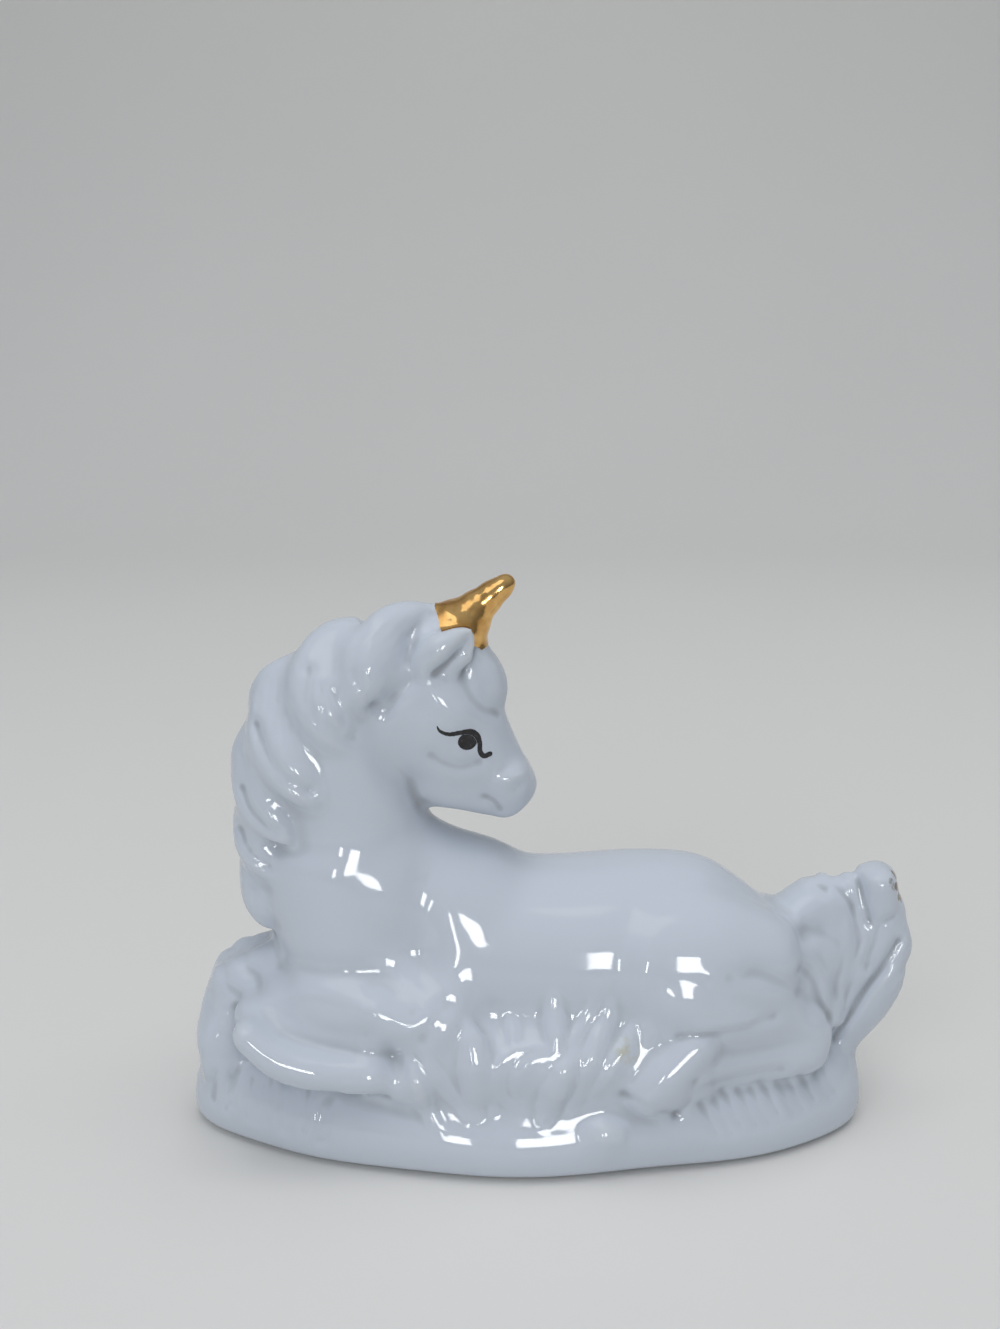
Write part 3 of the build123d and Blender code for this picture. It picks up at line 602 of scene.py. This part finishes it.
def horn_spiral(box):
    """The spiral that winds up the horn, fading towards its root."""
    x, y, z = places(box)
    along, drift = horn_coordinates(x, z)
    stations, drifts, _ = zip(*HORN_SHAPE)
    turn = np.arctan2(y, drift - np.interp(along, stations, drifts))
    wave = np.cos(2 * math.pi * along / HORN_TURN - turn)
    return HORN_SPIRAL_DEPTH * wave * ramp(along, *HORN_SPIRAL_FADE)


# Relief that pieces of a kind get all over
RELIEF = {"tail_lock": tail_strands, "chest_leaf": clump_lumps, "base_mound": foot_edge}


def clay_piece(name, number):
    """The field of one piece with its details: its box, the plain field and the detailed one."""
    kind = kind_of(name)
    if kind == "horn":
        box, plain = smooth_rod(*horn_points())
        return box, plain, plain + horn_spiral(box)
    if kind == "ear":
        return ear_field(-1 if name.startswith("far_") else 1)
    if kind == "grass_blade":
        box, plain = leaf_field(*GRASS_LEAVES[int(name[-1]) - 1])
        return box, plain, plain
    points, triangles = node_mesh(name)
    box, plain = node_field(points, triangles)
    if kind == "mane_lock":
        way, across = lock_coordinates(points, box)
        return box, plain, plain + strands(way, across, *MANE_STRANDS, MANE_PHASE_STEP * number)
    if kind == "forelock":
        way, _ = lock_coordinates(points, box)
        across = places(box)[1] / np.abs(points[:, 1]).max()
        return box, plain, plain + strands(way, across, *FORELOCK_STRANDS, FORELOCK_PHASE)
    if kind in RELIEF:
        return box, plain, plain + RELIEF[kind](box)
    if kind == "pebble":
        plain = plain + PEBBLE_SINK
    if name == "far_haunch":
        plain = np.roll(plain, -FAR_HAUNCH_DROP, axis=2)
    return box, plain, plain


# The clay: every piece's own field with its details, melted together one by one
clay_names = [name for kind in BLENDS for name in sorted(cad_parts) if kind_of(name) == kind]
clay = np.full(GRID_SIZE, FAR, np.float32)
nearest_distance = np.full(GRID_SIZE, FAR, np.float32)
nearest_piece = np.zeros(GRID_SIZE, np.uint8)
for number, name in enumerate(clay_names, 1):
    box, plain, detailed = clay_piece(name, number)
    closer = plain < nearest_distance[box]
    nearest_distance[box] = np.where(closer, plain, nearest_distance[box])
    nearest_piece[box] = np.where(closer, number, nearest_piece[box])
    clay[box] = melt(clay[box], detailed, BLENDS[kind_of(name)])
    if name == "base_mound":
        for path, radii, width in MASSES:
            for side in (-1, 1):
                box, mass = smooth_rod([(x, side * y, z) for x, y, z in path], radii)
                clay[box] = melt(clay[box], mass, width)
for leaf in SMALL_LEAVES:
    box, field = leaf_field(*leaf)
    clay[box] = melt(clay[box], field, LEAF_MELT)
for line in PRESSED_LINES:
    press(*line)
for first, step, count, top, rise, reach, depth in BASE_STROKES:
    for i in range(count):
        start = first + step * i + STROKE_STRAY[0] * math.sin(STROKE_STRAY[1] * i)
        height = top + rise * (start - first) + STROKE_TOP_STRAY[0] * math.sin(STROKE_TOP_STRAY[1] * i)
        stroke = ((start, height), (start + reach[0], height + reach[1]))
        press(stroke, STROKE_HALF_WIDTH, depth, STROKE_START)

# The hollow is out of sight, so it is filled, and each part of it goes to the piece around it
x, y, z = places(tuple(slice(0, size) for size in GRID_SIZE))
vent_distance = np.hypot(x, y) - VENT_RADIUS
vent_plug = (vent_distance < VENT_RIM) & (z < VENT_DEPTH)
outside = reached_from_outside((clay > LEAST_PASSAGE) & ~vent_plug)
for _ in range(PASSAGE_STEPS):
    outside |= grown(outside) & (clay > 0)
sealed = ~outside & (clay > 0)
base_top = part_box("base_mound")[1].z / MM
neck_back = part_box("neck")[1].x / MM
owner = np.where(z < base_top, clay_names.index("base_mound") + 1, clay_names.index("torso") + 1)
owner = np.where((z >= base_top) & (x < neck_back), clay_names.index("neck") + 1, owner)
nearest_piece = np.where(sealed | (nearest_piece == 0), owner, nearest_piece).astype(np.uint8)
clay = soften(np.where(sealed, -clay, clay))
clay = np.maximum(np.maximum(clay, -z), -np.maximum(vent_distance, z - VENT_DEPTH)).astype(np.float32)
slopes = np.gradient(clay)


def skin_points(field, labels):
    """One point for each grid cell that a skin or a seam passes through, and whether a skin does."""
    low = high = labels[:-1, :-1, :-1]
    for corner in np.ndindex(2, 2, 2):
        view = labels[tuple(slice(c, c - 1 if c == 0 else None) for c in corner)]
        low = np.minimum(low, view)
        high = np.maximum(high, view)
    crossed = low != high
    cells = np.argwhere(crossed)
    index = np.full(crossed.shape, -1, np.int32)
    index[crossed] = np.arange(len(cells))
    sums = np.zeros((2, len(cells), 3))
    counts = np.zeros((2, len(cells)))
    for axis in range(3):
        step = np.eye(3, dtype=int)[axis]
        for offset in np.ndindex(2, 2):
            start = cells + np.insert(offset, axis, 0)
            end = start + step
            a, b = field[tuple(start.T)], field[tuple(end.T)]
            label_a, label_b = labels[tuple(start.T)], labels[tuple(end.T)]
            skin = (label_a == 0) != (label_b == 0)
            seam = (label_a != label_b) & ~skin
            share = np.where(skin, a / np.where(skin, a - b, 1), 0.5)
            point = start + share[:, None] * step
            for kind, crossing in enumerate((skin, seam)):
                sums[kind] += point * crossing[:, None]
                counts[kind] += crossing
    on_skin = counts[0] > 0
    totals = np.where(on_skin[:, None], sums[0], sums[1])
    return index, totals / np.where(on_skin, counts[0], np.maximum(counts[1], 1))[:, None], on_skin


def skin_faces(index, labels):
    """Four-cornered faces between grid points of different labels: corners, label behind, label before."""
    faces, behind, front = [], [], []
    for axis in range(3):
        second, third = (axis + 1) % 3, (axis + 2) % 3
        here = [slice(1, -1)] * 3
        there = [slice(1, -1)] * 3
        here[axis] = slice(0, -1)
        there[axis] = slice(1, None)
        differ = labels[tuple(here)] != labels[tuple(there)]
        spot = np.argwhere(differ)
        spot[:, second] += 1
        spot[:, third] += 1
        corners = []
        for back, aside in ((1, 1), (0, 1), (0, 0), (1, 0)):
            cell = spot.copy()
            cell[:, second] -= back
            cell[:, third] -= aside
            corners.append(index[tuple(cell.T)])
        faces.append(np.stack(corners, 1))
        behind.append(labels[tuple(here)][differ])
        front.append(labels[tuple(there)][differ])
    return np.concatenate(faces), np.concatenate(behind), np.concatenate(front)


def skin_lips(skin, sunk_start):
    """Faces that turn in from the open edges of a skin to the same edges under it."""
    starts = skin.ravel().astype(np.int64)
    ends = np.roll(skin, -1, axis=1).ravel().astype(np.int64)
    span = 2 * sunk_start
    loose = ~np.isin(starts * span + ends, ends * span + starts)
    a, b = starts[loose], ends[loose]
    return np.stack([b, a, a + sunk_start, b + sunk_start], 1).astype(skin.dtype)


def clay_normal(points):
    """The way out of the clay at points in millimetres."""
    steps = grid_steps(points)
    ways = np.stack([sample(slope, steps) for slope in slopes], 1)
    return ways / np.maximum(np.linalg.norm(ways, axis=1), LEAST_SLOPE)[:, None]


def crease_at(points, reach=0.9):
    """How hollow, below 0, or how proud, above 0, the clay's skin is at points."""
    steps = grid_steps(points)
    total = -6 * sample(clay, steps)
    for axis in range(3):
        for sign in (-1, 1):
            shifted = steps.copy()
            shifted[:, axis] += sign * reach / VOXEL
            total += sample(clay, shifted)
    return total / reach**2


def make_piece(name, points, faces, material, nodes):
    """A mesh piece in metres that stands for CAD nodes."""
    used, corners = np.unique(faces, return_inverse=True)
    corners = corners.reshape(-1).astype(np.int32)
    mesh = bpy.data.meshes.new(name)
    mesh.vertices.add(len(used))
    mesh.vertices.foreach_set("co", (points[used] * MM).astype(np.float32).ravel())
    mesh.loops.add(len(corners))
    mesh.loops.foreach_set("vertex_index", corners)
    mesh.polygons.add(len(faces))
    mesh.polygons.foreach_set("loop_start", np.arange(0, len(corners), 4, dtype=np.int32))
    mesh.update(calc_edges=True)
    crease = mesh.attributes.new("crease", "FLOAT", "POINT")
    crease.data.foreach_set("value", crease_at(points[used]).astype(np.float32))
    mesh.normals_split_custom_set_from_vertices(clay_normal(points[used]).astype(np.float32))
    mesh.materials.append(material)
    piece = bpy.data.objects.new(name, mesh)
    bpy.context.scene.collection.objects.link(piece)
    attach(piece, "root")
    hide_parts(*nodes)


# Places of a mix node's sockets: its two numbers and their result, its two colours and theirs
MIX_NUMBERS = (2, 3)
MIX_NUMBER_RESULT = 0
MIX_COLOURS = (6, 7)
MIX_COLOUR_RESULT = 2


def new_material(name):
    """A material with its node tree, its principled shader and its place coordinates."""
    material = bpy.data.materials.new(name)
    material.use_nodes = True
    tree = material.node_tree
    shader = tree.nodes["Principled BSDF"]
    coordinates = tree.nodes.new("ShaderNodeTexCoord")
    return material, tree, shader, coordinates.outputs["Object"]


def add_noise(tree, place, size, detail=2.0):
    """Noise whose lumps are about the given size in metres."""
    noise = tree.nodes.new("ShaderNodeTexNoise")
    noise.inputs["Scale"].default_value = 1 / size
    noise.inputs["Detail"].default_value = detail
    tree.links.new(place, noise.inputs["Vector"])
    return noise.outputs["Fac"]


def add_range(tree, value, span, result=(0.0, 1.0)):
    """A value mapped from one range to another and held inside it."""
    node = tree.nodes.new("ShaderNodeMapRange")
    node.inputs["From Min"].default_value, node.inputs["From Max"].default_value = span
    node.inputs["To Min"].default_value, node.inputs["To Max"].default_value = result
    tree.links.new(value, node.inputs["Value"])
    return node.outputs["Result"]


def add_product(tree, first, second):
    """Two values multiplied."""
    node = tree.nodes.new("ShaderNodeMath")
    node.operation = "MULTIPLY"
    tree.links.new(first, node.inputs[0])
    tree.links.new(second, node.inputs[1])
    return node.outputs["Value"]


def add_nearness(tree, place, centre, radius):
    """1 at a place in millimetres, falling to 0 at a radius."""
    node = tree.nodes.new("ShaderNodeVectorMath")
    node.operation = "DISTANCE"
    tree.links.new(place, node.inputs[0])
    node.inputs[1].default_value = [value * MM for value in centre]
    return add_range(tree, node.outputs["Value"], (0.0, radius * MM), (1.0, 0.0))


def add_mix(tree, share, first, second):
    """A colour between two colours, each a colour or a socket."""
    node = tree.nodes.new("ShaderNodeMix")
    node.data_type = "RGBA"
    tree.links.new(share, node.inputs["Factor"])
    for place, colour in zip(MIX_COLOURS, (first, second)):
        if isinstance(colour, tuple):
            node.inputs[place].default_value = (*colour, 1)
        else:
            tree.links.new(colour, node.inputs[place])
    return node.outputs[MIX_COLOUR_RESULT]


def add_bump(tree, shader, height, strength, distance):
    """Fine relief of the surface from a height: its strength, and its size in metres."""
    bump = tree.nodes.new("ShaderNodeBump")
    bump.inputs["Strength"].default_value = strength
    bump.inputs["Distance"].default_value = distance
    tree.links.new(height, bump.inputs["Height"])
    tree.links.new(bump.outputs["Normal"], shader.inputs["Normal"])


# Glaze: its colours, and the ranges of the crease value over which it pools with painted shade and thins
GLAZE_WHITE = (0.60, 0.65, 0.725)
# Crease grey: partly glaze that pools there, partly painted shade
GLAZE_POOLED_AND_SHADED = (0.37, 0.395, 0.43)
GLAZE_THIN = (0.66, 0.69, 0.725)
POOLED_AND_SHADED_CREASE = (-0.1, -1.2)
THIN_CREASE = (0.6, 2.2)
# Its gloss: refraction, roughness, and lumps in metres and range of the noise that varies it. Then its
# ripple: lumps and detail of the noise, and strength and height of the bump
GLAZE_IOR = 1.5
GLAZE_ROUGHNESS = (0.04, 0.09)
GLOSS_LUMP = 0.012
GLOSS_NOISE = (0.3, 0.7)
GLAZE_RIPPLE = (0.0045, 1.0, 0.12, 0.0002)
# Stain by the tuft and dark brown patches at the tail's tip: colour, place and reach in millimetres,
# and lumps and range of the noise that breaks them up
STAIN = (0.50, 0.47, 0.28)
STAIN_PLACE = (13.6, -16.6, 19.4)
STAIN_REACH = 2.4
STAIN_LUMP = 0.002
STAIN_NOISE = (0.4, 0.58)
STAIN_STRENGTH = (0.0, 0.9)
TAIL_TIP_DARK = (0.20, 0.165, 0.13)
TAIL_TIP_DARK_PLACE = (54.6, -1.4, 37.2)
TAIL_TIP_DARK_REACH = 7.0
TAIL_TIP_DARK_LUMP = 0.0018
TAIL_TIP_DARK_NOISE = (0.36, 0.43)
# Bare foot: its colour, roughness, and the heights in metres where the glaze starts and where it is full
BISQUE = (0.62, 0.60, 0.56)
BISQUE_ROUGHNESS = 0.75
BARE_FOOT_HEIGHTS = (0.0002, 0.0005)
# Gold and enamel, thick and thin: colours, noise between them, roughness, and ripple
GOLD_THICK = (0.90, 0.56, 0.21)
# The thin gold's dark brown is partly thinner lustre, partly painted dark reflection
GOLD_THIN_AND_DARK_REFLECTION = (0.60, 0.31, 0.09)
GOLD_LUMPS = (0.003, 3.0)
GOLD_NOISE = (0.4, 0.7)
GOLD_ROUGHNESS = (0.15, 0.24)
GOLD_RIPPLE = (0.0022, 1.5, 0.3, 0.0004)
ENAMEL_THICK = (0.006, 0.006, 0.007)
ENAMEL_THIN = (0.022, 0.022, 0.025)
ENAMEL_LUMP = 0.0006
ENAMEL_NOISE = (0.35, 0.65)
ENAMEL_ROUGHNESS = (0.14, 0.28)
ENAMEL_RIPPLE = (0.25, 0.00006)


def porcelain_material():
    """White glaze with a cool cast, grey in the creases from glaze that pools there and painted shade, thin
    on the ridges, on a bare foot.
    """
    material, tree, shader, place = new_material("glazed_porcelain")
    crease = tree.nodes.new("ShaderNodeAttribute")
    crease.attribute_name = "crease"
    # Painted shade: the creases go grey, beyond what glaze that pools there would give
    pooled_and_shaded = add_range(tree, crease.outputs["Fac"], POOLED_AND_SHADED_CREASE)
    thin = add_range(tree, crease.outputs["Fac"], THIN_CREASE)
    colour = add_mix(tree, pooled_and_shaded, GLAZE_WHITE, GLAZE_POOLED_AND_SHADED)
    colour = add_mix(tree, thin, colour, GLAZE_THIN)
    patchy = add_range(tree, add_noise(tree, place, STAIN_LUMP), STAIN_NOISE, STAIN_STRENGTH)
    stained = add_product(tree, add_nearness(tree, place, STAIN_PLACE, STAIN_REACH), patchy)
    colour = add_mix(tree, stained, colour, STAIN)
    # Dark brown patches near the tail's tip
    near_tip = add_nearness(tree, place, TAIL_TIP_DARK_PLACE, TAIL_TIP_DARK_REACH)
    mottled = add_product(tree, add_noise(tree, place, TAIL_TIP_DARK_LUMP), near_tip)
    colour = add_mix(tree, add_range(tree, mottled, TAIL_TIP_DARK_NOISE), colour, TAIL_TIP_DARK)
    height = tree.nodes.new("ShaderNodeSeparateXYZ")
    tree.links.new(place, height.inputs["Vector"])
    bare_foot = add_range(tree, height.outputs["Z"], BARE_FOOT_HEIGHTS, (1.0, 0.0))
    colour = add_mix(tree, bare_foot, colour, BISQUE)
    tree.links.new(colour, shader.inputs["Base Color"])
    gloss = add_range(tree, add_noise(tree, place, GLOSS_LUMP), GLOSS_NOISE, GLAZE_ROUGHNESS)
    rough = tree.nodes.new("ShaderNodeMix")
    tree.links.new(bare_foot, rough.inputs["Factor"])
    tree.links.new(gloss, rough.inputs[MIX_NUMBERS[0]])
    rough.inputs[MIX_NUMBERS[1]].default_value = BISQUE_ROUGHNESS
    tree.links.new(rough.outputs[MIX_NUMBER_RESULT], shader.inputs["Roughness"])
    shader.inputs["IOR"].default_value = GLAZE_IOR
    size, detail, strength, distance = GLAZE_RIPPLE
    add_bump(tree, shader, add_noise(tree, place, size, detail), strength, distance)
    return material


def gold_material():
    """Fired gold lustre, thinner and browner in patches that are partly painted dark reflection, with the
    brush's faint ripple.
    """
    material, tree, shader, place = new_material("gold_lustre")
    mottled = add_range(tree, add_noise(tree, place, *GOLD_LUMPS), GOLD_NOISE)
    tree.links.new(add_mix(tree, mottled, GOLD_THICK, GOLD_THIN_AND_DARK_REFLECTION), shader.inputs["Base Color"])
    shader.inputs["Metallic"].default_value = 1.0
    tree.links.new(add_range(tree, mottled, (0.0, 1.0), GOLD_ROUGHNESS), shader.inputs["Roughness"])
    size, detail, strength, distance = GOLD_RIPPLE
    add_bump(tree, shader, add_noise(tree, place, size, detail), strength, distance)
    return material


def enamel_material():
    """Black enamel laid on with a fine brush."""
    material, tree, shader, place = new_material("black_enamel")
    thin = add_range(tree, add_noise(tree, place, ENAMEL_LUMP), ENAMEL_NOISE)
    tree.links.new(add_mix(tree, thin, ENAMEL_THICK, ENAMEL_THIN), shader.inputs["Base Color"])
    tree.links.new(add_range(tree, thin, (0.0, 1.0), ENAMEL_ROUGHNESS), shader.inputs["Roughness"])
    add_bump(tree, shader, thin, *ENAMEL_RIPPLE)
    return material


# Every clay piece's own closed skin
porcelain = porcelain_material()
labels = np.where(clay < 0, nearest_piece, 0).astype(np.uint8)
index, points, on_skin = skin_points(clay, labels)
points = points * VOXEL + LOW_CORNER
for _ in range(SETTLING_PASSES):
    steps = clay_value(points)[:, None] * clay_normal(points)
    points -= np.where(on_skin[:, None], np.clip(steps, -VOXEL / 2, VOXEL / 2), 0)
sunk = points - np.clip(clay_value(points) + SEAM_COVER, 0, SEAM_COVER)[:, None] * clay_normal(points)
faces, behind, front = skin_faces(index, labels)
every_point = np.concatenate([points, sunk])
for number, name in enumerate(clay_names, 1):
    outward = behind == number
    inward = front == number
    skin = np.concatenate([faces[outward & (front == 0)], faces[inward & (behind == 0)][:, ::-1]])
    seam = np.concatenate([faces[outward & (front > 0)], faces[inward & (behind > 0)][:, ::-1]])
    own = np.concatenate([skin, skin_lips(skin, len(points)), seam + len(points)])
    make_piece(name + "_glazed", every_point, own, porcelain, [name])

# Painted layers, gold on the horn and enamel at the eyes: grid step, and reach above and under the skin
PAINT_VOXEL = 0.1
PAINT_PROUD = 0.08
PAINT_SUNK = 0.1
# The lash line's points from the pupil's middle, X and Z, its half widths there, and the pupil's half size
LASH_PATH = ((-4.2, 2.5), (-3.8, 1.8), (-2.6, 1.3), (-1.0, 1.4), (0.4, 1.4),
             (1.3, 0.7), (1.7, -0.5), (1.7, -1.5), (2.2, -2.4), (3.1, -2.2))
LASH_HALF_WIDTHS = (0.1, 0.22, 0.3, 0.36, 0.44, 0.42, 0.34, 0.34, 0.38, 0.38)
PUPIL_HALF_SIZE = (1.35, 1.25)
# Box around an eye from its pupil: to the poll, to the muzzle, and up or down, and from the middle plane
EYE_BOX = (5.5, 4.5, 4.0)
EYE_SIDE = (3.0, 11.0)


def paint(name, low, high, mask, material, nodes):
    """A thin layer that follows the clay's skin wherever a mask is below 0."""
    size = np.ceil((np.array(high) - low) / PAINT_VOXEL).astype(int)
    grid = np.stack(np.meshgrid(*[np.arange(count) for count in size], indexing="ij"), -1).reshape(-1, 3)
    spots = grid * PAINT_VOXEL + np.array(low)
    skin = clay_value(spots)
    layer = np.maximum(np.maximum(skin - PAINT_PROUD, -PAINT_SUNK - skin), mask(*spots.T))
    layer = layer.reshape(size).astype(np.float32)
    inside = (layer < 0).astype(np.uint8)
    index, points, _ = skin_points(layer, inside)
    faces, behind, front = skin_faces(index, inside)
    faces = np.concatenate([faces[behind == 1], faces[front == 1][:, ::-1]])
    make_piece(name, points * PAINT_VOXEL + np.array(low), faces, material, nodes)


def gold_mask(x, y, z):
    """Below 0 on the horn above the wavy edge of the gilding."""
    along, drift = horn_coordinates(x, z)
    turn = np.arctan2(y, drift)
    edge = GOLD_EDGE - GOLD_EDGE_SLANT * np.cos(turn) + GOLD_WAVE * double_wave(turn, *GOLD_EDGE_WAVES)
    stations, drifts, radii = zip(*HORN_SHAPE)
    spread = np.hypot(drift - np.interp(along, stations, drifts), y) - np.interp(along, stations, radii)
    end = GOLD_END - x + GOLD_WAVE * np.cos(GOLD_END_WAVE_RATE * (z - HORN_ROOT[2]))
    return np.maximum(-melt(along - edge, -end, GOLD_CORNER), spread - GOLD_REACH)


gold = gold_material()
gold_low, gold_high = (np.array(corner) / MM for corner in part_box("horn_gilding"))
low, high = gold_low - GOLD_ROOM, gold_high + GOLD_ROOM
paint("horn_gilding_lustre", low, high, gold_mask, gold, ["horn_gilding"])
enamel = enamel_material()
eye_low, eye_high = (np.array(corner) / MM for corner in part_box("near_pupil"))
eye_x, _, eye_z = (eye_low + eye_high) / 2
lash_line = smooth_line([(eye_x + x, eye_z + z) for x, z in LASH_PATH])
lash_widths = stretched(LASH_HALF_WIDTHS, len(lash_line))


def lash_mask(x, y, z):
    """Below 0 inside the lash line."""
    return line_distance(lash_line, x, z, lash_widths)


def pupil_mask(x, y, z):
    """Below 0 inside the pupil and clear of the lash line."""
    oval = np.hypot((x - eye_x) / PUPIL_HALF_SIZE[0], (z - eye_z) / PUPIL_HALF_SIZE[1]) - 1
    return np.maximum(oval * min(PUPIL_HALF_SIZE), -lash_mask(x, y, z))


for side, low_y, high_y in (("near", -EYE_SIDE[1], -EYE_SIDE[0]), ("far", *EYE_SIDE)):
    low = (eye_x - EYE_BOX[0], low_y, eye_z - EYE_BOX[2])
    high = (eye_x + EYE_BOX[1], high_y, eye_z + EYE_BOX[2])
    paint(f"{side}_pupil_enamel", low, high, pupil_mask, enamel, [f"{side}_pupil"])
    paint(f"{side}_lash_enamel", low, high, lash_mask, enamel, [f"{side}_lash_line"])


# The floor's sheet in metres, and its tones
FLOOR_HALF_WIDTH = 1.6
FLOOR_FRONT = -1.4
FLOOR_BEND = 0.55
FLOOR_BEND_RADIUS = 0.45
FLOOR_BEND_STEPS = 16
FLOOR_TOP = 1.6
FLOOR_TONES = ((0.76, 0.75, 0.73), (0.80, 0.79, 0.77))
FLOOR_TONE_LUMP = 0.3
FLOOR_ROUGHNESS = 0.7


def floor_and_backdrop():
    """A pale sheet that runs along the floor and sweeps up behind."""
    profile = [(FLOOR_FRONT, 0.0), (FLOOR_BEND, 0.0)]
    for i in range(1, FLOOR_BEND_STEPS + 1):
        angle = i / FLOOR_BEND_STEPS * math.pi / 2
        rise = FLOOR_BEND_RADIUS * (1 - math.cos(angle))
        profile.append((FLOOR_BEND + FLOOR_BEND_RADIUS * math.sin(angle), rise))
    profile.append((FLOOR_BEND + FLOOR_BEND_RADIUS, FLOOR_TOP))
    corners = [(x, y, z) for y, z in profile for x in (-FLOOR_HALF_WIDTH, FLOOR_HALF_WIDTH)]
    quads = [(2 * i, 2 * i + 1, 2 * i + 3, 2 * i + 2) for i in range(len(profile) - 1)]
    mesh = bpy.data.meshes.new("floor")
    mesh.from_pydata(corners, [], quads)
    mesh.shade_smooth()
    material, tree, shader, place = new_material("pale_floor")
    tone = add_mix(tree, add_noise(tree, place, FLOOR_TONE_LUMP), *FLOOR_TONES)
    tree.links.new(tone, shader.inputs["Base Color"])
    shader.inputs["Roughness"].default_value = FLOOR_ROUGHNESS
    shader.inputs["Specular IOR Level"].default_value = 0.0
    mesh.materials.append(material)
    floor = bpy.data.objects.new("floor", mesh)
    bpy.context.scene.collection.objects.link(floor)


# Lamps: name, place and size in metres, watts, colour, and whether the lamp only shows in the glaze
LAMPS = (
    ("overhead", (0.1, -0.1, 1.1), (1.0, 0.8), 4.8, (1.0, 0.99, 0.97), False),
    ("fill", (-0.4, -1.0, 0.6), (0.8, 0.8), 4.0, (0.96, 0.98, 1.0), False),
    ("window", (0.12, -1.27, 0.30), (0.27, 0.34), 4.3, (1.0, 1.0, 1.0), True),
    ("ceiling", (-0.35, -0.5, 1.0), (0.7, 0.5), 1.0, (1.0, 0.98, 0.95), True),
    ("side_window", (-0.27, -1.25, 0.24), (0.09, 0.26), 1.1, (1.0, 1.0, 1.0), True),
)
LAMP_AIM = (0, 0, 0.035)
# The world's light: its colour, and its strength between two heights of the view's direction
WORLD_COLOUR = (0.86, 0.92, 1.0, 1)
WORLD_HEIGHTS = (-0.1, 0.9)
WORLD_STRENGTHS = (0.12, 0.46)


def area_light(name, position, size, watts, colour, mirrored):
    """A rectangular lamp that faces the figurine, and either lights it or only shows in its glaze."""
    lamp = bpy.data.lights.new(name, "AREA")
    lamp.shape = "RECTANGLE"
    lamp.size, lamp.size_y = size
    lamp.energy = watts
    lamp.color = colour
    light = bpy.data.objects.new(name, lamp)
    light.location = position
    aim = Vector(LAMP_AIM) - light.location
    light.rotation_euler = aim.to_track_quat("-Z", "Y").to_euler()
    light.visible_glossy = mirrored
    light.visible_diffuse = not mirrored
    bpy.context.scene.collection.objects.link(light)


# Camera: focal length in pixels of the photograph's frame, place in metres, and degrees down
CAMERA_FOCAL_PIXELS = 1300.0
CAMERA_PLACE = (-0.0044, -0.1806, 0.1152)
CAMERA_PITCH = 13.8
CAMERA_CLIP_START = 0.01
IMAGE_HEIGHT = 1329.0


def stage():
    """Floor, soft studio light and the photograph's viewpoint."""
    floor_and_backdrop()
    for lamp in LAMPS:
        area_light(*lamp)
    world = bpy.data.worlds.new("studio")
    world.use_nodes = True
    tree = world.node_tree
    direction = tree.nodes.new("ShaderNodeTexCoord")
    height = tree.nodes.new("ShaderNodeSeparateXYZ")
    tree.links.new(direction.outputs["Generated"], height.inputs["Vector"])
    strength = add_range(tree, height.outputs["Z"], WORLD_HEIGHTS, WORLD_STRENGTHS)
    tree.nodes["Background"].inputs["Color"].default_value = WORLD_COLOUR
    tree.links.new(strength, tree.nodes["Background"].inputs["Strength"])
    bpy.context.scene.world = world
    lens = bpy.data.cameras.new("camera")
    lens.lens = lens.sensor_width * CAMERA_FOCAL_PIXELS / IMAGE_HEIGHT
    lens.clip_start = CAMERA_CLIP_START
    camera = bpy.data.objects.new("camera", lens)
    camera.location = CAMERA_PLACE
    camera.rotation_euler = (math.radians(90 - CAMERA_PITCH), 0, 0)
    bpy.context.scene.collection.objects.link(camera)
    bpy.context.scene.camera = camera
    bpy.context.scene.view_settings.view_transform = "Standard"


stage()
